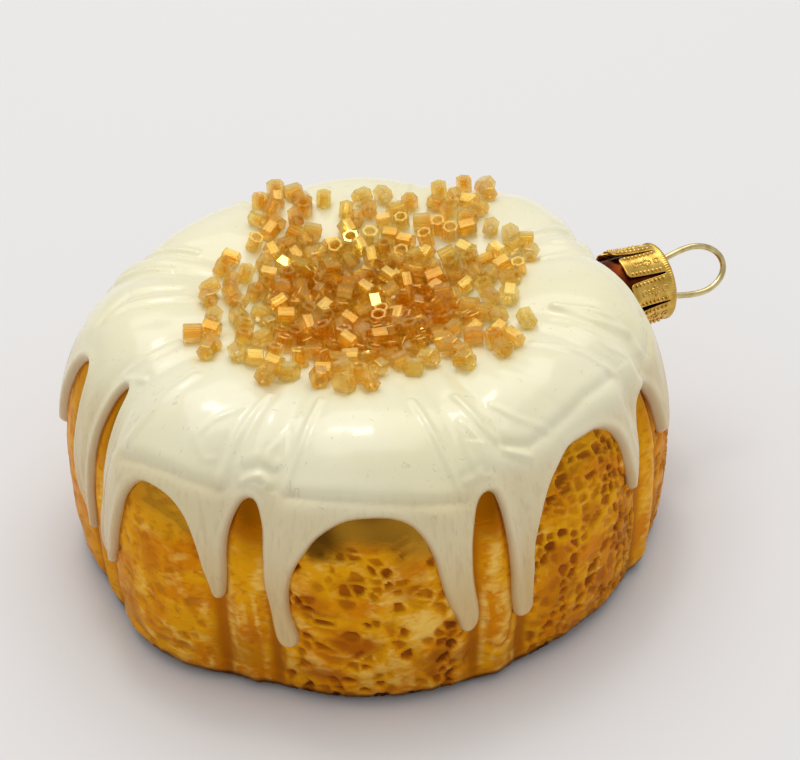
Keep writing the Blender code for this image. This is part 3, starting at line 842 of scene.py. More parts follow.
        # The rub mark is rubbed paint in the brush strokes and combed valleys, and rubbed paint with painted highlight
        # on the cell walls, lumps and wave crests.
        rub = (0.50 * wall + 0.62 * lump) * (0.22 + 0.78 * patch) + strokes + combed + 0.55 * np.maximum(wave, 0.0)
        return {
            "lift": lift,
            # The crumb mark grows with pit depth and in the wave troughs: partly the pits' own colour, partly painted
            # shade.
            "crumb": np.clip(inside * ease(pit, 0.0, 0.10) * (0.22 + 0.70 * pit) - 0.6 * np.minimum(wave, 0.0), 0.0, 1.0),
            # The crease mark is painted shade: rib creases, gaps under the icing and the band along the foot.
            "crease": np.clip(np.maximum(0.55 * crease + 0.75 * gap_painted_shade * (1.0 - 0.5 * crease), edge), 0.0, 1.0),
            "mirror": np.clip(upper, 0.0, 1.0),
            "rub": np.clip(rub, 0.0, 1.0) * (1.0 - ease(height, 21.0, 26.0)),
            "stain": self.stained(turn, height, radius, slow),
        }

    def stained(self, turn: Array, height: Array, radius: Array, ragged: Array) -> Array:
        """Strength of the rust-coloured patches at places, from 0 to 1."""
        rng = np.random.default_rng(self.seed + 1)
        far = [Stain(float(rng.uniform(-40.0, 178.0)), float(rng.uniform(4.0, 20.0)), float(rng.uniform(1.8, 3.6)),
                     float(rng.uniform(1.2, 3.0)), float(rng.uniform(0.4, 0.9))) for _ in range(self.far_stains)]
        total = np.zeros(turn.shape)
        for stain in (*self.stains, *far):
            across = wrapped(turn - stain.angle) * np.radians(radius) / stain.half_width
            up = (height - stain.height) / stain.half_height
            away = np.hypot(across, up) + 0.5 * ragged
            total = np.maximum(total, stain.strength * (1.0 - ease(away, 0.35, 1.35)))
        return total

    def build_body(self) -> bpy.types.Object:
        """The cake's own closed shell."""
        angle = np.arange(self.columns) * 360.0 / self.columns
        length = self.rows()
        relief = self.relief(angle, length)
        turn, along = np.meshgrid(angle, length)
        shell = FORM.surface(turn.ravel(), RULER.station(along).ravel(), relief["lift"].ravel())
        shares = np.array([0.985, 0.95, 0.7, 0.35])
        base_turn, base_share = np.meshgrid(angle, shares)
        base = FORM.surface(base_turn.ravel(), -120.0 + 30.0 * base_share.ravel(), 0.0)
        top = FORM.surface(np.array([0.0]), np.array([180.0]), 0.0)
        bottom = np.zeros((1, 3))
        points = np.concatenate([top, shell, base, bottom])
        piece = mesh_object("glass_body", points, ring_faces(len(length) + len(shares), self.columns))
        # The hidden base takes half of the crease mark's painted shade and some of the rubbed paint.
        below = {"crumb": 0.0, "crease": 0.5, "mirror": 0.0, "rub": 0.4, "stain": 0.0}
        for name, flat in below.items():
            rest = np.full(len(base) + 1, flat)
            add_attribute(piece, name, np.concatenate([[0.0], relief[name].ravel(), rest]))
        return piece

    def build_neck(self) -> bpy.types.Object:
        """Short glass neck with its open bore, under the cap."""
        start, end = self.neck_ends
        floor = end - self.bore_depth
        profile = [(start, self.neck_radius), (end - 0.2, self.neck_radius), (end, self.neck_radius - 0.2),
                   (end, self.bore_radius), (floor, self.bore_radius)]
        columns = 64
        turns = np.radians(np.arange(columns) * 360.0 / columns)
        points = [(start, 0.0, FORM.cap_height)]
        for x, radius in profile:
            points += [(x, -radius * math.sin(t), FORM.cap_height + radius * math.cos(t)) for t in turns]
        points.append((floor, 0.0, FORM.cap_height))
        faces = [face[::-1] for face in ring_faces(len(profile), columns)]
        return mesh_object("glass_neck", np.array(points), faces)

    def build(self) -> None:
        """Builds and dresses the glass."""
        place_piece(self.build_body(), Slot.GLASS, LacquerFinish().material(), "cake_glass")
        # The neck's near-black finish is painted shade under the cap.
        place_piece(self.build_neck(), Slot.GLASS, NECK_PAINTED_SHADE_FINISH.material(), "cake_glass")


@dataclass(frozen=True)
class Drip:
    """One drip of the icing and the arch that follows it.

    Attributes:
        angle: where it leaves the arches.
        low: height of its tip.
        half: half its width in degrees above the tip.
        arch: height of the arch's top between it and the next drip.
        lean: share of the arch's width at which its top stands.
        sway: degrees that the tip lies further round than the root.
        tip_half: half its width in degrees at the tip.
    """

    angle: float
    low: float
    half: float
    arch: float
    lean: float
    sway: float = 0.0
    tip_half: float = 2.0


@dataclass
class EdgeField:
    """Signed distance to the icing's lower edge, laid out by angle and length.

    Attributes:
        angle: angles of the edge's closely spaced points.
        length: their lengths down the outline.
    """

    angle: Array
    length: Array

    def distance(self, angle: Array, length: Array) -> Array:
        """Millimetres from places to the edge, positive inside the icing."""
        angle, length = np.ravel(angle), np.ravel(length)
        result = np.full(len(angle), 9.0)
        window, bucket = 9.0, 5.0
        after_angle, after_length = np.roll(self.angle, -1), np.roll(self.length, -1)
        for start in np.arange(-180.0, 180.0, bucket):
            middle = start + bucket / 2.0
            chosen = np.where(np.abs(wrapped(angle - middle)) <= bucket / 2.0 + 1e-6)[0]
            near = np.where(np.abs(wrapped(self.angle - middle)) < window + bucket / 2.0)[0]
            if not len(chosen):
                continue
            for part in np.array_split(chosen, max(1, len(chosen) // 600)):
                scale = np.radians(np.maximum(FORM.outline(RULER.station(length[part]))[0], 1.0))[:, None]
                ax = wrapped(self.angle[near][None, :] - angle[part][:, None]) * scale
                bx = ax + wrapped(after_angle[near] - self.angle[near])[None, :] * scale
                ay = self.length[near][None, :] - length[part][:, None]
                by = after_length[near][None, :] - length[part][:, None]
                dx, dy = bx - ax, by - ay
                share = np.clip(-(ax * dx + ay * dy) / np.maximum(dx * dx + dy * dy, 1e-12), 0.0, 1.0)
                away = np.sqrt(np.min((ax + share * dx) ** 2 + (ay + share * dy) ** 2, axis=1))
                crosses = (ax > 0.0) != (bx > 0.0)
                at = ay + dy * (-ax / np.where(crosses, dx, 1.0))
                inside = np.sum(crosses & (at > 0.0), axis=1) % 2 == 1
                result[part] = np.where(inside, np.minimum(away, 9.0), -away)
        return result


@dataclass
class Icing:
    """Coat of icing over the top, with rounded drips and the folds of the mould."""

    drips: tuple[Drip, ...] = (
        Drip(-183.4, 11.0, 3.7, 32.8, 0.45, 3.0, 1.5),
        Drip(-168.9, 10.6, 4.3, 26.9, 0.45, -1.8, 3.6),
        Drip(-143.6, 14.0, 2.2, 28.8, 0.60, 0.8, 1.3),
        Drip(-131.6, 8.7, 2.0, 27.9, 0.62, 1.9, 2.4),
        Drip(-98.3, 10.0, 3.0, 28.8, 0.65, 1.9, 2.2),
        Drip(-85.5, 9.2, 2.6, 29.6, 0.60, 0.5, 2.3),
        Drip(-51.6, 17.4, 3.2, 28.2, 0.45, -2.2, 1.1),
        Drip(-34.6, 18.0, 3.2, 32.8, 0.52, -0.6, 2.0),
        Drip(30.0, 14.0, 2.9, 29.4, 0.70, 1.0, 1.8),
        Drip(52.5, 11.0, 2.9, 27.0, 0.55, -0.8, 2.3),
        Drip(82.5, 15.5, 2.5, 29.5, 0.50, 1.0, 1.5),
        Drip(96.5, 10.6, 2.9, 27.6, 0.50, -0.6, 2.4),
        Drip(128.5, 13.0, 2.6, 29.2, 0.50, 0.8, 1.8),
        Drip(143.0, 11.4, 2.6, 27.5, 0.50, 0.6, 2.2),
        Drip(158.5, 17.5, 2.7, 30.5, 0.50, -1.0, 1.6),
    )
    arch_power: float = 2.5
    arch_foot: float = 3.0
    sway_rise: float = 10.0
    edge_step: float = 0.40
    edge_blur: float = 0.55
    wobble: float = 0.16
    coat: float = 1.35
    edge_coat: float = 1.02
    bed: float = -0.25
    lip: float = 0.85
    rings: tuple[float, ...] = (0.05, 0.17, 0.36, 0.62, 0.95)
    grid: float = 0.42
    fine_grid: float = 0.30
    under_grid: float = 1.6
    plain_ribs: tuple[float, ...] = (-44.0, 0.0, 45.0, 90.0, 136.0)
    laid_wrinkles: tuple[Wrinkle, ...] = (
        Wrinkle(((-129.0, 46.0), (-119.0, 46.0), (-109.0, 44.0), (-99.0, 41.5), (-93.0, 39.0)), Mould.FOLD, 0.36, 0.55),
        Wrinkle(((-164.5, 38.5), (-159.5, 41.5), (-152.5, 43.5), (-143.5, 42.5)), Mould.FOLD, 0.34, 0.60),
        Wrinkle(((-86.0, 60.0), (-79.5, 54.5), (-72.5, 57.0), (-61.5, 60.0), (-50.5, 57.0)), Mould.FOLD, 0.30, 0.60),
        Wrinkle(((-142.0, 91.0), (-142.6, 57.0), (-143.0, 46.0)), Mould.RIDGE, 0.34, 0.50),
        Wrinkle(((-127.0, 93.0), (-128.5, 65.5), (-130.0, 48.0)), Mould.RIDGE, 0.28, 0.38),
        Wrinkle(((-101.5, 90.0), (-99.0, 68.0), (-96.5, 44.0)), Mould.RIDGE, 0.28, 0.38),
        Wrinkle(((-90.0, 88.0), (-88.0, 69.7), (-85.5, 57.1), (-81.0, 50.0)), Mould.RIDGE, 0.32, 0.45),
        Wrinkle(((-162.5, 84.0), (-163.0, 60.0), (-164.5, 46.0)), Mould.RIDGE, 0.24, 0.50),
        Wrinkle(((-166.5, 68.0), (-164.8, 76.0), (-165.5, 86.0)), Mould.RIDGE, 0.12, 0.28),
        Wrinkle(((179.0, 91.0), (181.0, 80.0), (180.0, 62.0)), Mould.RIDGE, 0.28, 0.50),
        Wrinkle(((152.5, 96.0), (154.0, 76.0), (159.5, 63.0)), Mould.GROOVE, 0.28, 0.55),
        Wrinkle(((157.5, 100.0), (158.5, 76.0), (161.0, 65.0)), Mould.RIDGE, 0.24, 0.45),
        Wrinkle(((140.0, 89.0), (139.5, 58.0)), Mould.RIDGE, 0.28, 0.50),
        Wrinkle(((-132.4, 74.0), (-134.4, 64.0), (-134.6, 59.0), (-132.8, 56.5), (-131.4, 62.0), (-132.4, 74.0)),
                Mould.RIDGE, 0.10, 0.32),
        Wrinkle(((-92.5, 76.0), (-93.4, 62.0), (-92.4, 51.5), (-90.4, 52.0), (-89.6, 63.0), (-92.5, 76.0)),
                Mould.RIDGE, 0.10, 0.34),
        Wrinkle(((-144.6, 82.0), (-149.5, 68.0), (-150.5, 60.0), (-147.0, 52.5), (-145.4, 54.0)),
                Mould.RIDGE, 0.10, 0.34),
        Wrinkle(((-83.0, 79.0), (-79.5, 68.0), (-74.0, 56.0)), Mould.RIDGE, 0.14, 0.35),
        Wrinkle(((-138.8, 53.5), (-136.0, 56.5), (-132.6, 55.0)), Mould.GROOVE, 0.24, 0.55),
        Wrinkle(((-138.6, 47.5), (-137.2, 50.5), (-135.4, 52.0), (-133.6, 49.5), (-134.6, 46.8), (-136.4, 48.0)),
                Mould.RIDGE, 0.30, 0.40),
        Wrinkle(((-95.0, 48.0), (-92.2, 49.5), (-89.8, 46.5)), Mould.RIDGE, 0.22, 0.45),
        Wrinkle(((-178.0, 63.0), (-173.5, 69.0)), Mould.RIDGE, 0.20, 0.40),
        Wrinkle(((-35.5, 93.0), (-37.5, 77.0), (-36.0, 60.0)), Mould.RIDGE, 0.26, 0.50),
        Wrinkle(((-56.5, 92.0), (-51.5, 74.0), (-49.0, 57.0)), Mould.RIDGE, 0.24, 0.50),
        Wrinkle(((-113.0, 88.0), (-112.0, 72.0), (-112.6, 58.0)), Mould.RIDGE, 0.05, 0.60),
        Wrinkle(((-73.0, 90.0), (-70.0, 76.0), (-67.5, 64.0)), Mould.RIDGE, 0.05, 0.60),
    )
    seed: int = 23

    def edge(self) -> EdgeField:
        """Rounded lower edge of the icing all the way round."""
        points: list[tuple[float, float]] = []
        for number, drip in enumerate(self.drips):
            after = self.drips[(number + 1) % len(self.drips)]
            for turn in np.radians(np.linspace(180.0, 360.0, 25)):
                across = math.cos(turn)
                half = drip.tip_half
                rise = drip.tip_half * 0.69 * 1.15 * (1.0 + math.sin(turn))
                points.append((drip.angle + drip.sway + across * half, drip.low + rise))
            width = (after.angle - after.half - drip.angle - drip.half) % 360.0
            for turn in np.radians(np.linspace(3.0, 177.0, 70)):
                across = abs(math.cos(turn)) ** (2.0 / self.arch_power)
                rise = math.sin(turn) ** (2.0 / self.arch_power)
                first = math.cos(turn) > 0.0
                own = drip if first else after
                share = drip.lean * (1.0 - across) if first else drip.lean + (1.0 - drip.lean) * across
                foot = own.low + self.arch_foot
                height = foot + (drip.arch - foot) * rise
                hang = 1.0 - float(ease(height, own.low, own.low + self.sway_rise))
                grow = (own.tip_half - own.half) * (1.0 - float(ease(height, own.low, own.low + 6.0)))
                angle = drip.angle + drip.half + share * width + own.sway * hang + (grow if first else -grow)
                points.append((angle, height))
        angle, height = (np.array(values) for values in zip(*points))
        length = RULER.length_at_height(height)
        return self.smoothed(angle, length)

    def smoothed(self, angle: Array, length: Array) -> EdgeField:
        """Evenly spaced edge with its corners and hand-laid wobble blurred in."""
        reach = math.radians(1.0) * FORM.max_radius
        angle = np.append(angle, angle[0] + 360.0)
        length = np.append(length, length[0])
        steps = np.hypot(np.diff(angle) * reach, np.diff(length))
        run = np.concatenate([[0.0], np.cumsum(steps)])
        count = int(run[-1] / 0.15)
        at = np.arange(count) * run[-1] / count
        angle, length = np.interp(at, run, angle), np.interp(at, run, length)
        spread = int(4.0 * self.edge_blur / 0.15)
        weights = np.exp(-0.5 * (np.arange(-spread, spread + 1) * 0.15 / self.edge_blur) ** 2)
        weights /= weights.sum()
        base = np.arange(count) * 360.0 / count + angle[0]
        sums = [np.zeros(count), np.zeros(count)]
        for shift, weight in zip(range(-spread, spread + 1), weights):
            sums[0] += weight * np.roll(angle - base, shift)
            sums[1] += weight * np.roll(length, shift)
        angle, length = base + sums[0], sums[1]
        cells = int(run[-1] / 3.4)
        length = length + self.wobble * lattice(at / run[-1] * cells, at * 0.0 + 3.0, self.seed, cells)
        angle = angle + self.wobble / reach * lattice(at / run[-1] * cells, at * 0.0 + 9.0, self.seed, cells)
        keep = np.round(np.arange(0.0, count, self.edge_step / 0.15)).astype(int)
        keep = keep[keep < count]
        return EdgeField(angle[keep], length[keep])

    def places(self, edge: EdgeField, step: float, margin: float,
               wanted: Optional[Callable[[Array, Array], Array]] = None) -> tuple[Array, Array]:
        """Evenly spread places inside the icing.

        Args:
            edge: the icing's edge.
            step: distance between places.
            margin: smallest distance to the edge.
            wanted: keeps the places where it is true.

        Returns:
            Their angles and lengths.
        """
        angles, lengths = [], []
        for row, along in enumerate(np.arange(step, float(edge.length.max()), step * 0.87)):
            radius = float(FORM.outline(RULER.station(along))[0])
            count = max(6, int(round(2.0 * math.pi * radius / step)))
            angles.append(((np.arange(count) + 0.5 * (row % 2)) * 360.0 / count) - 180.0)
            lengths.append(np.full(count, along))
        angle, length = np.concatenate(angles), np.concatenate(lengths)
        if wanted is not None:
            keep = wanted(angle, length)
            angle, length = angle[keep], length[keep]
        keep = edge.distance(angle, length) > margin
        return angle[keep], length[keep]

    def edge_rings(self, edge: EdgeField) -> tuple[Array, Array, Array]:
        """Places just inside the edge, with their distances to it."""
        reach = np.radians(np.maximum(FORM.outline(RULER.station(edge.length))[0], 1.0))
        ahead = wrapped(np.roll(edge.angle, -1) - np.roll(edge.angle, 1)) * reach
        down = np.roll(edge.length, -1) - np.roll(edge.length, 1)
        size = np.maximum(np.hypot(ahead, down), 1e-9)
        inward_x, inward_y = down / size, -ahead / size
        angles, lengths, away = [], [], []
        for distance in self.rings:
            angle = edge.angle + inward_x * distance / reach
            length = edge.length + inward_y * distance
            real = edge.distance(angle, length)
            keep = real > 0.88 * distance
            angles.append(angle[keep])
            lengths.append(length[keep])
            away.append(real[keep])
        return np.concatenate(angles), np.concatenate(lengths), np.concatenate(away)

    def wrinkles(self) -> list[Wrinkle]:
        """Lines of the mould in the icing: those listed, and the like on the other lobes."""
        rng = np.random.default_rng(self.seed)
        lines = list(self.laid_wrinkles)
        for start, after in zip(self.plain_ribs[:-1], self.plain_ribs[1:]):
            span, near, far = after - start, *rng.uniform(-1.5, 1.5, 2)
            middle = rng.uniform(50.0, 56.0)
            lines += [
                Wrinkle(((start + 9.0, 45.0 + near), (start + 0.38 * span, middle), (start + 0.64 * span, middle),
                         (after - 8.0, 46.0 + far)), Mould.FOLD, 0.28, 0.55),
                Wrinkle(((start + 8.5 + near, 93.0), (start + 9.0 + near, 68.0), (start + 7.0, 50.0))),
                Wrinkle(((after - 7.0 + far, 93.0), (after - 5.5 + far, 66.0), (after - 6.0, 48.0))),
                Wrinkle(((start + 0.6, 84.0), (start + 2.6, 64.0), (start + 0.8, 56.0), (start - 1.0, 66.0),
                         (start + 0.6, 84.0)), Mould.RIDGE, 0.14, 0.28),
            ]
        return lines

    def lift(self, angle: Array, length: Array, away: Array) -> Array:
        """Height of the icing's outside over the glass."""
        station = RULER.station(length)
        full = self.edge_coat + (self.coat - self.edge_coat) * ease(away, 1.2, 4.5)
        inner = np.clip(away / self.lip, 0.0, 1.0)
        rounded = np.sqrt(np.clip(1.0 - (1.0 - inner) ** 2, 0.0, 1.0))
        deep = ease(away, 0.6, 2.4)
        slow = 0.11 * lattice(angle / 360.0 * 60.0 + 60.0, length * 0.22, 31, 60) * deep
        crown = 0.10 * hump(away, 0.75, 0.45) * (1.0 - ease(away, 1.5, 4.0))
        streaks = 0.05 * lattice(angle / 360.0 * 400.0 + 400.0, length * 0.10, 32, 400) * (1.0 - ease(station, 26.0, 44.0))
        swept = 0.04 * lattice(angle / 360.0 * 120.0 + 120.0, length * 0.09, 33, 120) * ease(station, 46.0, 60.0)
        lines = sum(line.relief(angle, length) for line in self.wrinkles())
        fine = (streaks + swept + lines) * deep
        return self.bed + (full - self.bed) * rounded + slow + crown * rounded + fine

    def detailed(self, angle: Array, length: Array) -> Array:
        """Where the relief is too fine for the wide grid."""
        station = RULER.station(length)
        return (station > 40.0) & (station < 98.0) & (FORM.rib_offset(angle) < 11.5)

    def plane(self, angle: Array, length: Array) -> list[Vector]:
        """Places spread flat round the middle of the well."""
        turn = np.radians(angle)
        return [Vector(pair) for pair in zip(length * np.cos(turn), length * np.sin(turn))]

    def skin(self, edge: EdgeField, angle: Array, length: Array) -> tuple[Array, Array, Array]:
        """Triangles between the edge and places inside it.

        Args:
            edge: the icing's edge, whose points come first.
            angle: angles of the places inside.
            length: lengths of the places inside.

        Returns:
            Angles and lengths of every corner, and the triangles' corner numbers.
        """
        all_angle = np.concatenate([edge.angle, angle])
        all_length = np.concatenate([edge.length, length])
        count = len(edge.angle)
        borders = [(i, (i + 1) % count) for i in range(count)]
        result = delaunay_2d_cdt(self.plane(all_angle, all_length), borders, [], 1, 1e-7)
        source = np.array([found[0] for found in result[3]])
        faces = source[np.array(result[2])]
        return all_angle, all_length, faces

    def build(self) -> None:
        """Builds and dresses the icing."""
        edge = self.edge()
        ring_angle, ring_length, ring_away = self.edge_rings(edge)
        margin = self.rings[-1] + 0.6 * self.grid
        wide = self.places(edge, self.grid, margin, lambda a, s: ~self.detailed(a, s))
        fine = self.places(edge, self.fine_grid, margin, self.detailed)
        angle = np.concatenate([ring_angle, wide[0], fine[0]])
        length = np.concatenate([ring_length, wide[1], fine[1]])
        all_angle, all_length, faces = self.skin(edge, angle, length)
        away = np.maximum(edge.distance(all_angle, all_length), 0.0)
        away[: len(edge.angle)] = 0.0
        top = FORM.surface(all_angle, RULER.station(all_length), self.lift(all_angle, all_length, away))
        under = self.places(edge, self.under_grid, 0.9 * self.under_grid)
        low_angle, low_length, low_faces = self.skin(edge, *under)
        low = FORM.surface(low_angle, RULER.station(low_length), np.full(len(low_angle), self.bed))
        count = len(edge.angle)
        shifted = np.where(low_faces < count, low_faces, low_faces + len(top) - count)
        points = np.concatenate([top, low[count:]])
        piece = mesh_object("icing_coat_drips", points, np.concatenate([faces, shifted[:, ::-1]]).tolist())
        height = top[:, 2]
        low_rest = np.zeros(len(points) - len(top))
        # The drip mark darkens the icing lower down: thinner enamel, and painted shade on the collar, sides and drips.
        thin_with_painted_shade = 0.40 * (1.0 - ease(height, 27.0, 32.5)) + 0.55 * (1.0 - ease(height, 13.0, 27.0))
        add_attribute(piece, "drip", np.concatenate([thin_with_painted_shade, low_rest]))
        # Painted shade along the icing's edge, where it meets the glass.
        add_attribute(piece, "rim", np.concatenate([0.60 * (1.0 - ease(away, 0.15, 0.75)), low_rest]))
        place_piece(piece, Slot.ICING, IcingFinish().material(), "icing_coat")


class TreeBuilder:
    """Geometry Nodes tree laid out node by node, with named inputs."""

    def __init__(self, name: str) -> None:
        """Starts a tree that takes and gives a geometry."""
        self.tree = bpy.data.node_groups.new(name, "GeometryNodeTree")
        self.tree.interface.new_socket("Geometry", in_out="INPUT", socket_type="NodeSocketGeometry")
        self.tree.interface.new_socket("Geometry", in_out="OUTPUT", socket_type="NodeSocketGeometry")
        self.start = self.tree.nodes.new("NodeGroupInput")
        self.end = self.tree.nodes.new("NodeGroupOutput")
        self.identifiers: dict[str, str] = {}

    def size(self, name: str, kind: str = "NodeSocketFloat") -> bpy.types.NodeSocket:
        """Adds a named input and returns its socket."""
        item = self.tree.interface.new_socket(name, in_out="INPUT", socket_type=kind)
        self.identifiers[name] = item.identifier
        return self.start.outputs[name]

    def node(self, kind: str, settings: Optional[dict[str, object]] = None, **inputs: object) -> bpy.types.Node:
        """Adds a node, with its settings and its linked or plain inputs by name."""
        node = self.tree.nodes.new(kind)
        for name, value in (settings or {}).items():
            setattr(node, name, value)
        for name, value in inputs.items():
            wanted = name.replace("_", " ").title()
            socket = [s for s in node.inputs if s.name.title() == wanted and s.enabled][0]
            if isinstance(value, bpy.types.NodeSocket):
                self.tree.links.new(value, socket)
            else:
                socket.default_value = value
        return node

    def sum(self, operation: str, first: object, second: object = 0.0) -> bpy.types.NodeSocket:
        """Result of one sum on numbers or sockets."""
        node = self.tree.nodes.new("ShaderNodeMath")
        node.operation = operation
        for socket, value in zip(node.inputs, (first, second)):
            if isinstance(value, bpy.types.NodeSocket):
                self.tree.links.new(value, socket)
            else:
                socket.default_value = value
        return node.outputs["Value"]

    def finish(self, geometry: bpy.types.NodeSocket, material: bpy.types.NodeSocket) -> None:
        """Ends the tree in Realize Instances and Set Material."""
        real = self.node("GeometryNodeRealizeInstances", Geometry=geometry)
        dressed = self.node("GeometryNodeSetMaterial", Geometry=real.outputs["Geometry"], Material=material)
        self.tree.links.new(dressed.outputs["Geometry"], self.end.inputs["Geometry"])

    def apply(self, piece: bpy.types.Object, **values: object) -> bpy.types.Object:
        """Runs the tree on a piece with its inputs set, and keeps the result as a plain mesh."""
        modifier = piece.modifiers.new(self.tree.name, "NODES")
        modifier.node_group = self.tree
        for name, value in values.items():
            modifier[self.identifiers[name]] = value
        return plain_mesh(piece)


@dataclass(frozen=True)
class HeapArm:
    """Stretch of the heap's edge that straggles further out or in, by angle, reach and half width."""

    angle: float
    extra: float
    half: float


@dataclass
class BeadHeap:
    """Cut glass beads glued in and round the well, over a core where they lie deep."""

    length: float = 2.25
    width: float = 2.40
    hole: float = 1.10
    chamfer: float = 0.14
    reach: float = 23.0
    arms: tuple[HeapArm, ...] = (
        HeapArm(-173.0, 2.5, 9.0), HeapArm(-133.0, 1.2, 10.0), HeapArm(-104.0, 1.8, 7.0), HeapArm(-76.0, 2.3, 7.0),
        HeapArm(-33.0, -2.8, 10.0), HeapArm(-2.0, 4.4, 8.0), HeapArm(34.0, 7.6, 9.0), HeapArm(92.0, 4.8, 11.0),
        HeapArm(120.0, -4.4, 8.0), HeapArm(146.0, -3.0, 12.0),
    )
    spacing: float = 2.12
    tries: int = 7000
    full_reach: float = 12.5
    edge_share: float = 0.50
    upper_reach: float = 12.5
    upper_rise: float = 1.55
    upper_tries: int = 1300
    core_reach: float = 12.5
    core_rise: float = 0.9
    over: float = 1.30
    seed: int = 7

    def edge_reach(self, angle: Array) -> Array:
        """Reach of the heap's ragged edge at angles."""
        total = np.full_like(np.asarray(angle, float), self.reach)
        for arm in self.arms:
            total = total + arm.extra * np.exp(-((wrapped(angle - arm.angle) / arm.half) ** 2))
        return total

    def on_icing(self, x: float, y: float, lift: float) -> tuple[Array, Array]:
        """Point over the icing above a place in plan, and the way out of the icing there."""
        angle = math.degrees(math.atan2(y, x))
        station = float(RULER.station(RULER.length_at_radius(math.hypot(x, y))))
        low = FORM.surface(np.array([angle]), np.array([station]), np.array([self.over]))[0]
        out, up = FORM.outward(np.array([station]))
        away = np.array([float(out[0]) * math.cos(math.radians(angle)),
                         float(out[0]) * math.sin(math.radians(angle)), float(up[0])])
        return low + away * lift, away

    def laid(self) -> tuple[list[Array], list[tuple[float, float, float]]]:
        """Middles and turns of all the beads, laid one by one."""
        rng = np.random.default_rng(self.seed)
        middles: list[Array] = []
        turns: list[tuple[float, float, float]] = []
        for number in range(self.tries + self.upper_tries):
            upper = number >= self.tries
            radius = math.sqrt(rng.uniform(0.0, 1.0)) * (self.upper_reach if upper else 32.0)
            angle = rng.uniform(-180.0, 180.0)
            draw = rng.uniform(size=5)
            limit = float(self.edge_reach(np.array(angle)))
            if radius > limit:
                continue
            share = float(1.0 - (1.0 - self.edge_share) * ease(radius, self.full_reach, limit))
            if not upper and draw[0] > share ** 3:
                continue
            x, y = radius * math.cos(math.radians(angle)), radius * math.sin(math.radians(angle))
            upright = draw[1] < 0.28
            rest = self.length / 2.0 if upright else self.width * 0.46
            place, away = self.on_icing(x, y, rest + (self.upper_rise if upper else 0.0))
            gaps = np.linalg.norm(np.array(middles) - place, axis=1) if middles else np.array([9.0])
            if gaps.min() < self.spacing * (0.9 if upper else 1.0):
                continue
            if upper and np.sum(gaps < 2.9) < 3:
                continue
            out = Vector(away)
            side = out.orthogonal().normalized()
            side.rotate(out.to_track_quat("Z", "Y").__class__(out, draw[2] * 2.0 * math.pi))
            lean = (draw[3] - 0.5) * (1.1 if upper else 0.45)
            axis = (out + side * lean if upright else side + out * lean).normalized()
            spin = axis.to_track_quat("Z", "Y")
            spin.rotate(spin.__class__(axis, draw[4] * math.pi / 3.0))
            middles.append(place)
            turns.append(tuple(spin.to_euler()))
        return middles, turns

    def tree(self) -> TreeBuilder:
        """Tree that puts a hexagonal tube with a round hole and chamfered ends on each point."""
        build = TreeBuilder("cut_bead")
        width, hole = build.size("Width"), build.size("Hole")
        length, chamfer = build.size("Length"), build.size("Chamfer")
        seed, material = build.size("Seed", "NodeSocketInt"), build.size("Material", "NodeSocketMaterial")
        middle = build.sum("MULTIPLY", build.sum("ADD", width, hole), 0.25)
        wall = build.sum("MULTIPLY", build.sum("SUBTRACT", width, hole), 0.5)
        circle = build.node("GeometryNodeCurvePrimitiveCircle", Resolution=12, Radius=middle)
        section = build.node("GeometryNodeCurvePrimitiveQuadrilateral", Width=wall, Height=length)
        cut = build.node("GeometryNodeFilletCurve", {"mode": "POLY"}, Curve=section.outputs["Curve"],
                         Radius=chamfer, Count=1)
        tube = build.node("GeometryNodeCurveToMesh", Curve=circle.outputs["Curve"],
                          Profile_Curve=cut.outputs["Curve"])
        place = build.node("GeometryNodeInputPosition")
        parts = build.node("ShaderNodeSeparateXYZ", Vector=place.outputs["Position"])
        x, y, z = (parts.outputs[name] for name in "XYZ")
        turn = build.sum("ARCTAN2", y, x)
        sector = build.sum("SUBTRACT", build.sum("FLOORED_MODULO", turn, math.pi / 3.0), math.pi / 6.0)
        flat = build.sum("DIVIDE", math.cos(math.pi / 6.0), build.sum("COSINE", sector))
        away = build.sum("SQRT", build.sum("ADD", build.sum("MULTIPLY", x, x), build.sum("MULTIPLY", y, y)))
        outer = build.sum("GREATER_THAN", away, middle)
        scale = build.sum("ADD", 1.0, build.sum("MULTIPLY", outer, build.sum("SUBTRACT", flat, 1.0)))
        moved = build.node("ShaderNodeCombineXYZ", X=build.sum("MULTIPLY", x, scale),
                           Y=build.sum("MULTIPLY", y, scale), Z=z)
        hexed = build.node("GeometryNodeSetPosition", Geometry=tube.outputs["Mesh"],
                           Position=moved.outputs["Vector"])
        flat_shade = build.node("GeometryNodeSetShadeSmooth", Geometry=hexed.outputs["Geometry"], Shade_Smooth=False)
        turned = build.node("GeometryNodeInputNamedAttribute", {"data_type": "FLOAT_VECTOR"}, Name="turn")
        rotation = build.node("FunctionNodeEulerToRotation", Euler=turned.outputs["Attribute"])
        vary = build.node("FunctionNodeRandomValue", {"data_type": "FLOAT"}, Min=0.90, Max=1.06, Seed=seed)
        vary_value = [s for s in vary.outputs if s.enabled][0]
        spread = build.node("GeometryNodeInstanceOnPoints", Points=build.start.outputs["Geometry"],
                            Instance=flat_shade.outputs["Geometry"], Rotation=rotation.outputs["Rotation"],
                            Scale=vary_value)
        build.finish(spread.outputs["Instances"], material)
        return build

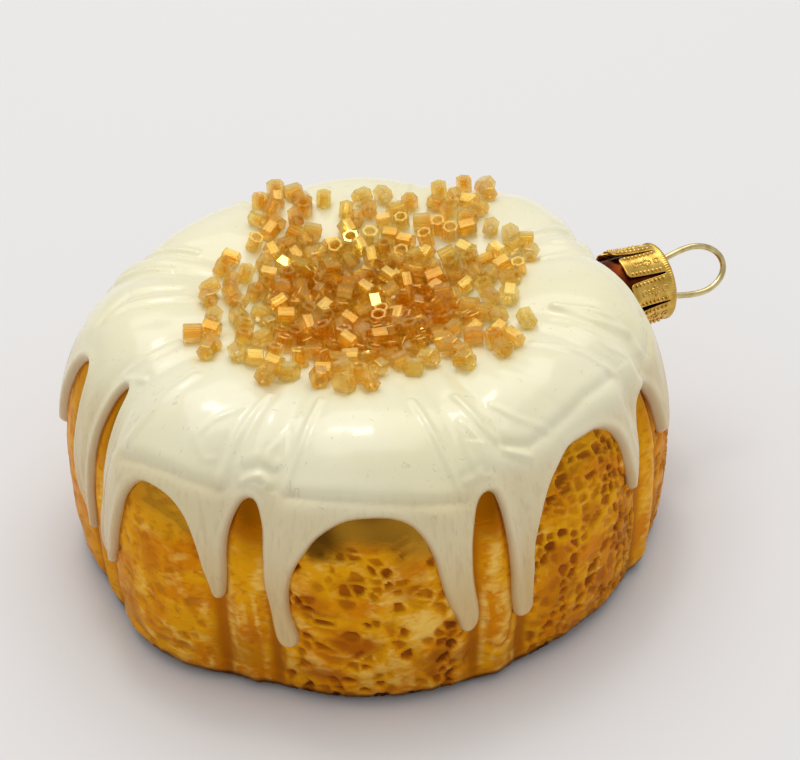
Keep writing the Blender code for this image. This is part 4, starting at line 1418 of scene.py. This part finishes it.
    def build_beads(self) -> None:
        """The loose-laid beads, one mesh."""
        middles, turns = self.laid()
        piece = mesh_object("amber_cut_beads", np.array(middles), [])
        layer = piece.data.attributes.new("turn", "FLOAT_VECTOR", "POINT")
        layer.data.foreach_set("vector", np.array(turns, np.float32).ravel())
        material = BeadFinish().material()
        sizes = {"Width": self.width * MM, "Hole": self.hole * MM, "Length": self.length * MM,
                 "Chamfer": self.chamfer * MM, "Seed": self.seed, "Material": material}
        self.tree().apply(piece, **sizes)
        LOG.info("beads: %d", len(middles))
        place_piece(piece, Slot.BEADS, material, "bead_heap")

    def build_core(self) -> None:
        """Lumpy bed of amber in the well, under the beads."""
        columns = 120
        shares = np.linspace(0.08, 1.0, 24)
        angle = np.arange(columns) * 360.0 / columns
        turn, share = np.meshgrid(angle, shares)
        reach = self.core_reach * (1.0 + 0.10 * lattice(turn / 360.0 * 12.0, turn * 0.0 + 2.0, 41, 12))
        radius = reach * share
        station = RULER.station(RULER.length_at_radius(radius))
        lumps = 0.25 * lattice(turn / 360.0 * 24.0, radius * 0.6, 42, 24)
        rise = self.over - 0.5 + (self.core_rise + lumps + 0.5) * (1.0 - share ** 4)
        top = FORM.surface(turn.ravel(), station.ravel(), rise.ravel())
        peak = FORM.surface(np.array([0.0]), np.array([180.0]), np.array([self.over + self.core_rise]))
        low = FORM.surface(np.array([0.0]), np.array([180.0]), np.array([self.over - 0.6]))
        points = np.concatenate([peak, top, low])
        piece = mesh_object("amber_bead_core", points, ring_faces(len(shares), columns))
        place_piece(piece, Slot.BEADS, CoreFinish().material(), "bead_heap")

    def build(self) -> None:
        """Builds and dresses the heap."""
        self.build_core()
        self.build_beads()


@dataclass
class Cap:
    """Thin metal cap: wired plate, milled rim and eight embossed tabs.

    Attributes:
        profile: places along the axis and radii of the outside, from the plate to the tab ends.
    """

    tabs: int = 8
    tab_columns: int = 48
    end_x: float = 44.0
    tab_end_x: float = 37.0
    slot_end_x: float = 42.9
    slot_narrow: float = 0.26
    slot_wide: float = 0.95
    corner: float = 0.8
    sheet: float = 0.26
    profile: tuple[tuple[float, float], ...] = (
        (43.98, 4.55), (43.92, 4.85), (43.78, 5.10), (43.60, 5.25), (43.38, 5.28), (43.18, 5.22),
        (42.95, 5.16), (41.0, 5.24), (39.5, 5.36), (38.0, 5.58), (37.0, 5.72),
    )
    ridges_a_tab: int = 12
    ridge: float = 0.075
    hole_radius: float = 0.62
    dot_pitch: float = 0.62
    dot_size: float = 0.29
    dot_inset: float = 0.44
    dot_rise: float = 0.30

    def radius(self, x: Array) -> Array:
        """Outside radius at places along the axis."""
        along, radii = zip(*self.profile[::-1])
        return np.interp(x, along, radii)

    def around(self, x: Array, turn: Array, radius: Array) -> Array:
        """Points in millimetres at turns in radians about the cap's axis, from +Z towards -Y."""
        return np.stack([x + 0.0 * turn, -radius * np.sin(turn), FORM.cap_height + radius * np.cos(turn)], axis=-1)

    def slot_half(self, x: Array) -> Array:
        """Half the width in radians of the slots at places along the axis."""
        share = np.clip((self.slot_end_x - x) / (self.slot_end_x - self.tab_end_x), 0.0, 1.0)
        width = self.slot_narrow + (self.slot_wide - self.slot_narrow) * share
        return np.where(x >= self.slot_end_x, 0.0, 0.5 * width / self.radius(x))

    def skirt(self) -> tuple[list[Array], list[tuple[int, ...]]]:
        """Corners and faces of the rim and the tabs, open towards the plate."""
        points: list[Array] = []
        faces: list[tuple[int, ...]] = []
        across = np.linspace(-1.0, 1.0, self.tab_columns + 1)
        rim = np.array([43.98, 43.92, 43.78, 43.60, 43.38, 43.18, 42.95, self.slot_end_x])
        tab = np.linspace(0.0, 1.0, 30)[1:]
        half = math.pi / self.tabs
        for number in range(self.tabs):
            middle = (number + 0.5) * 2.0 * half
            first = len(points)
            for x in rim:
                turn = middle + across * half
                phase = (across + 1.0) / 2.0 * self.ridges_a_tab * 2.0 * math.pi
                milled = self.ridge * hump(np.array(x), 43.55, 0.38) * np.cos(phase)
                points += list(self.around(np.full_like(turn, x), turn, self.radius(x) + milled))
            for share in tab:
                x = self.slot_end_x + (self.tab_end_x - self.slot_end_x) * share
                edge = (half - float(self.slot_half(np.array(x)))) * across
                reach = np.abs(across) * 2.0
                inset = np.clip((reach - 2.0 + self.corner) / self.corner, 0.0, 1.0)
                rounded = self.corner * (1.0 - np.sqrt(1.0 - inset * inset)) * share ** 4
                place = x + rounded
                points += list(self.around(place, middle + edge, self.radius(place)))
            width = self.tab_columns + 1
            rows = len(rim) + len(tab)
            for row in range(rows - 1):
                for column in range(self.tab_columns):
                    a = first + row * width + column
                    faces.append((a, a + width, a + width + 1, a + 1))
        return points, faces

    def plate(self, leg_turns: Sequence[float], leg_radius: float) -> tuple[list[Array], list[tuple[int, ...]]]:
        """Corners and faces of the flat end with its two wire holes."""
        count = self.tabs * self.tab_columns
        outer = [(4.55 * math.cos(2.0 * math.pi * i / count), 4.55 * math.sin(2.0 * math.pi * i / count))
                 for i in range(count)]
        spots = list(outer)
        borders = [(i, (i + 1) % count) for i in range(count)]
        middles = [(leg_radius * math.cos(t), leg_radius * math.sin(t)) for t in leg_turns]
        for cx, cy in middles:
            first, steps = len(spots), 24
            for i in range(steps):
                turn = 2.0 * math.pi * i / steps
                spots.append((cx + self.hole_radius * math.cos(turn), cy + self.hole_radius * math.sin(turn)))
                borders.append((first + i, first + (i + 1) % steps))
        for ring in np.arange(0.4, 4.4, 0.4):
            steps = max(6, int(2.0 * math.pi * ring / 0.4))
            for i in range(steps):
                turn = 2.0 * math.pi * (i + 0.5) / steps
                spot = (ring * math.cos(turn), ring * math.sin(turn))
                if all(math.dist(spot, m) > self.hole_radius + 0.2 for m in middles):
                    spots.append(spot)
        result = delaunay_2d_cdt([Vector(s) for s in spots], borders, [], 1, 1e-7)
        source = [found[0] for found in result[3]]
        faces = []
        for face in result[2]:
            corners = [source[i] for i in face]
            centre = np.mean([spots[i] for i in corners], axis=0)
            if all(math.dist(centre, m) > self.hole_radius * 0.98 for m in middles):
                faces.append(tuple(corners))
        points = []
        for across, up in spots:
            away = math.hypot(across, up)
            dish = 0.18 * float(hump(np.array(away), 0.0, 2.6))
            points.append(np.array([43.98 - dish, across, FORM.cap_height + up]))
        return points, faces

    def build_sheet(self) -> bpy.types.Object:
        """The whole cap as one folded sheet."""
        points, faces = self.skirt()
        leg = math.radians(90.0 - WireLoop.lean)
        plate_points, plate_faces = self.plate((leg, leg + math.pi), WireLoop.leg_half_span)
        faces += [tuple(i + len(points) for i in face) for face in plate_faces]
        piece = mesh_object("embossed_cap", np.array(points + plate_points), faces)
        weld = piece.modifiers.new("weld", "WELD")
        weld.merge_threshold = 0.02 * MM
        sheet = piece.modifiers.new("sheet", "SOLIDIFY")
        sheet.thickness = self.sheet * MM
        sheet.offset = -1.0
        return plain_mesh(piece)

    def stamps(self) -> tuple[list[Array], list[tuple[float, float, float]], list[tuple[float, float, float]]]:
        """Middles, turns and sizes of the raised dots, dashes, stars and rings on the tabs."""
        middles, turns, sizes = [], [], []
        half = math.pi / self.tabs

        def stamp(tab: int, x: float, across: float, long: float, slim: float, heading: float) -> None:
            """Adds one raised stamp, its length along a heading on the tab."""
            radius = float(self.radius(np.array(x)))
            turn = (tab + 0.5) * 2.0 * half + across / radius
            middles.append(self.around(np.array(x), np.array(turn), np.array(radius - 0.02)))
            out = Vector((0.0, -math.sin(turn), math.cos(turn)))
            along = Vector((1.0, 0.0, 0.0))
            side = out.cross(along)
            headed = along * math.cos(heading) + side * math.sin(heading)
            cross = out.cross(headed)
            grid = out.to_track_quat("Z", "Y").to_matrix()
            grid.col[0], grid.col[1], grid.col[2] = headed, cross, out
            turns.append(tuple(grid.to_euler()))
            sizes.append((long, slim, min(slim, self.dot_rise)))

        for tab in range(self.tabs):
            for x in np.arange(self.tab_end_x + 0.9, self.slot_end_x - 0.1, self.dot_pitch):
                width = (half - float(self.slot_half(np.array(x)))) * float(self.radius(np.array(x)))
                for side in (-1.0, 1.0):
                    stamp(tab, float(x), side * (width - self.dot_inset), self.dot_size, self.dot_size, 0.0)
            centre = 40.6
            for arm in range(6):
                heading = math.pi / 6.0 + arm * math.pi / 3.0
                reach = 0.48
                stamp(tab, centre + reach * math.cos(heading), reach * math.sin(heading), 0.38, 0.20, heading)
            for x, size in ((42.15, 0.36), (38.9, 0.34)):
                for step in range(9):
                    turn = math.radians(35.0) + step * math.radians(290.0) / 8.0
                    stamp(tab, x + size * math.cos(turn), size * math.sin(turn), 0.20, 0.17, turn + math.pi / 2.0)
            for across in (-0.22, 0.22):
                stamp(tab, 39.65, across, 0.30, 0.16, 0.0)
        return middles, turns, sizes

    def build_stamps(self, material: bpy.types.Material) -> bpy.types.Object:
        """The raised stamps, one mesh."""
        middles, turns, sizes = self.stamps()
        piece = mesh_object("cap_stamps", np.array(middles), [])
        for name, values in (("turn", turns), ("spread", sizes)):
            layer = piece.data.attributes.new(name, "FLOAT_VECTOR", "POINT")
            layer.data.foreach_set("vector", np.array(values, np.float32).ravel())
        build = TreeBuilder("cap_stamp")
        size, dressing = build.size("Unit"), build.size("Material", "NodeSocketMaterial")
        dome = build.node("GeometryNodeMeshIcoSphere", Radius=size, Subdivisions=2)
        smooth = build.node("GeometryNodeSetShadeSmooth", Geometry=dome.outputs["Mesh"], Shade_Smooth=True)
        turned = build.node("GeometryNodeInputNamedAttribute", {"data_type": "FLOAT_VECTOR"}, Name="turn")
        spread = build.node("GeometryNodeInputNamedAttribute", {"data_type": "FLOAT_VECTOR"}, Name="spread")
        rotation = build.node("FunctionNodeEulerToRotation", Euler=turned.outputs["Attribute"])
        laid = build.node("GeometryNodeInstanceOnPoints", Points=build.start.outputs["Geometry"],
                          Instance=smooth.outputs["Geometry"], Rotation=rotation.outputs["Rotation"],
                          Scale=spread.outputs["Attribute"])
        build.finish(laid.outputs["Instances"], dressing)
        return build.apply(piece, Unit=MM, Material=material)

    def build(self) -> None:
        """Builds and dresses the cap."""
        material = CAP_FINISH.material()
        place_piece(self.build_sheet(), Slot.CAP, material, "ornament_cap")
        place_piece(self.build_stamps(material), Slot.CAP, material, "ornament_cap")


@dataclass
class WireLoop:
    """Bent wire whose two legs go through the cap's plate."""

    wire: float = 0.43
    lean: float = 34.0
    half_width: float = 3.2
    widest_x: float = 49.6
    far_x: float = 54.1
    leg_half_span: float = 2.35
    leg_end_x: float = 39.8
    spread_from_x: float = 43.2
    sides: int = 20

    def route(self) -> Array:
        """Middle of the wire along the axis and across it, from leg to leg."""
        x = np.linspace(self.leg_end_x, self.widest_x, 40)[:-1]
        across = self.leg_half_span + (self.half_width - self.leg_half_span) * ease(x, self.spread_from_x, self.widest_x)
        turn = math.pi * (0.5 - np.linspace(0.0, 1.0, 65))
        bend_x = self.widest_x + (self.far_x - self.widest_x) * np.cos(turn)
        bend = self.half_width * np.sin(turn)
        along = np.concatenate([x, bend_x, x[::-1]])
        return np.stack([along, np.concatenate([across, bend, -across[::-1]])], axis=-1)

    def build(self) -> None:
        """Builds and dresses the loop."""
        lean = math.radians(self.lean)
        route = self.route()
        tangent = np.gradient(route, axis=0)
        tangent /= np.linalg.norm(tangent, axis=1)[:, None]
        up = np.array([0.0, math.sin(lean), math.cos(lean)])
        flat = np.array([0.0, math.cos(lean), -math.sin(lean)])
        along = np.array([1.0, 0.0, 0.0])
        middle = along * route[:, :1] + up * route[:, 1:] + np.array([0.0, 0.0, FORM.cap_height])
        side = along * tangent[:, 1:] - up * tangent[:, :1]
        turns = np.radians(np.arange(self.sides) * 360.0 / self.sides)
        rings = [middle + self.wire * (side * math.cos(t) + flat * math.sin(t)) for t in turns]
        body = np.stack(rings, axis=1).reshape(-1, 3)
        points = np.concatenate([middle[:1], body, middle[-1:]])
        faces = ring_faces(len(route), self.sides)
        piece = mesh_object("wire_loop", points, faces)
        place_piece(piece, Slot.WIRE, WIRE_FINISH.material(), "hanger_loop")


@dataclass
class Studio:
    """Pale floor, soft light and the camera."""

    target: tuple[float, float, float] = (0.0, 0.0, 0.015)
    distance: float = 0.320
    azimuth: float = -23.7
    elevation: float = 35.5
    roll: float = -1.9
    lens: float = 108.45
    shift: tuple[float, float] = (0.040, 0.056)
    floor_colour: Colour = (0.80, 0.79, 0.785, 1.0)
    world_colour: Colour = (0.98, 0.985, 1.0, 1.0)
    world_strength: float = 0.58

    def build_floor(self) -> None:
        """Wide pale floor."""
        data = bpy.data.meshes.new("floor")
        size = 3.0
        data.from_pydata([(-size, -size, 0.0), (size, -size, 0.0), (size, size, 0.0), (-size, size, 0.0)],
                         [], [(0, 1, 2, 3)])
        floor = bpy.data.objects.new("floor", data)
        bpy.context.scene.collection.objects.link(floor)
        sheet = NodeSheet("pale_floor")
        tone = sheet.noise(sheet.place(), 1.2, 1.0)
        warm = tuple(c * 0.985 for c in self.floor_colour[:3]) + (1.0,)
        colour = sheet.mix(sheet.spread(tone, 0.3, 0.7), self.floor_colour, warm)
        sheet.principled(base_color=colour, roughness=0.55)
        data.materials.append(sheet.material)
        floor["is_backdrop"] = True

    def light(self, name: str, place: tuple[float, float, float], size: float, watts: float,
              colour: tuple[float, float, float]) -> None:
        """Adds a square soft light that faces the ornament."""
        lamp = bpy.data.lights.new(name, "AREA")
        lamp.size, lamp.energy, lamp.color = size, watts, colour
        item = bpy.data.objects.new(name, lamp)
        item.location = place
        aim = Vector(self.target) - Vector(place)
        item.rotation_euler = aim.to_track_quat("-Z", "Y").to_euler()
        bpy.context.scene.collection.objects.link(item)

    def build_camera(self) -> None:
        """Camera in front of the ornament, a little to its left and above."""
        turn, rise, roll = (math.radians(v) for v in (self.azimuth, self.elevation, self.roll))
        back = Vector((math.sin(turn) * math.cos(rise), -math.cos(turn) * math.cos(rise), math.sin(rise)))
        data = bpy.data.cameras.new("camera")
        data.lens, data.sensor_width = self.lens, 36.0
        data.shift_x, data.shift_y = self.shift
        data.clip_start, data.clip_end = 0.01, 20.0
        camera = bpy.data.objects.new("camera", data)
        camera.location = Vector(self.target) + back * self.distance
        spin = (-back).to_track_quat("-Z", "Y")
        spin.rotate(spin.__class__(back, roll))
        camera.rotation_mode = "QUATERNION"
        camera.rotation_quaternion = spin
        bpy.context.scene.collection.objects.link(camera)
        bpy.context.scene.camera = camera

    def build(self) -> None:
        """Builds the stage."""
        self.build_floor()
        self.light("softbox", (0.10, 0.20, 0.72), 0.80, 2.9, (1.0, 0.99, 0.97))
        self.light("ceiling", (0.04, 0.30, 0.90), 0.16, 0.7, (1.0, 0.99, 0.96))
        world = bpy.data.worlds.new("soft_room")
        world.use_nodes = True
        shade = world.node_tree.nodes["Background"]
        shade.inputs["Color"].default_value = self.world_colour
        shade.inputs["Strength"].default_value = self.world_strength
        bpy.context.scene.world = world
        bpy.context.scene.view_settings.view_transform = "Standard"
        self.build_camera()


def write_sizes() -> None:
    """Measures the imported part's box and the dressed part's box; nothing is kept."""
    boxes = {"cad": CAD_BOX, "visual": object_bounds()}
    plain = {name: [list(corner) for corner in box] for name, box in boxes.items()}


def main() -> None:
    """Builds every sub-assembly round the frame and sets the stage."""
    logging.basicConfig(level=logging.INFO, format="%(message)s")
    for maker in (GlassCake(), Icing(), BeadHeap(), Cap(), WireLoop(), Studio()):
        maker.build()
        LOG.info("built %s", type(maker).__name__)
    write_sizes()


if __name__ == "__main__":
    main()
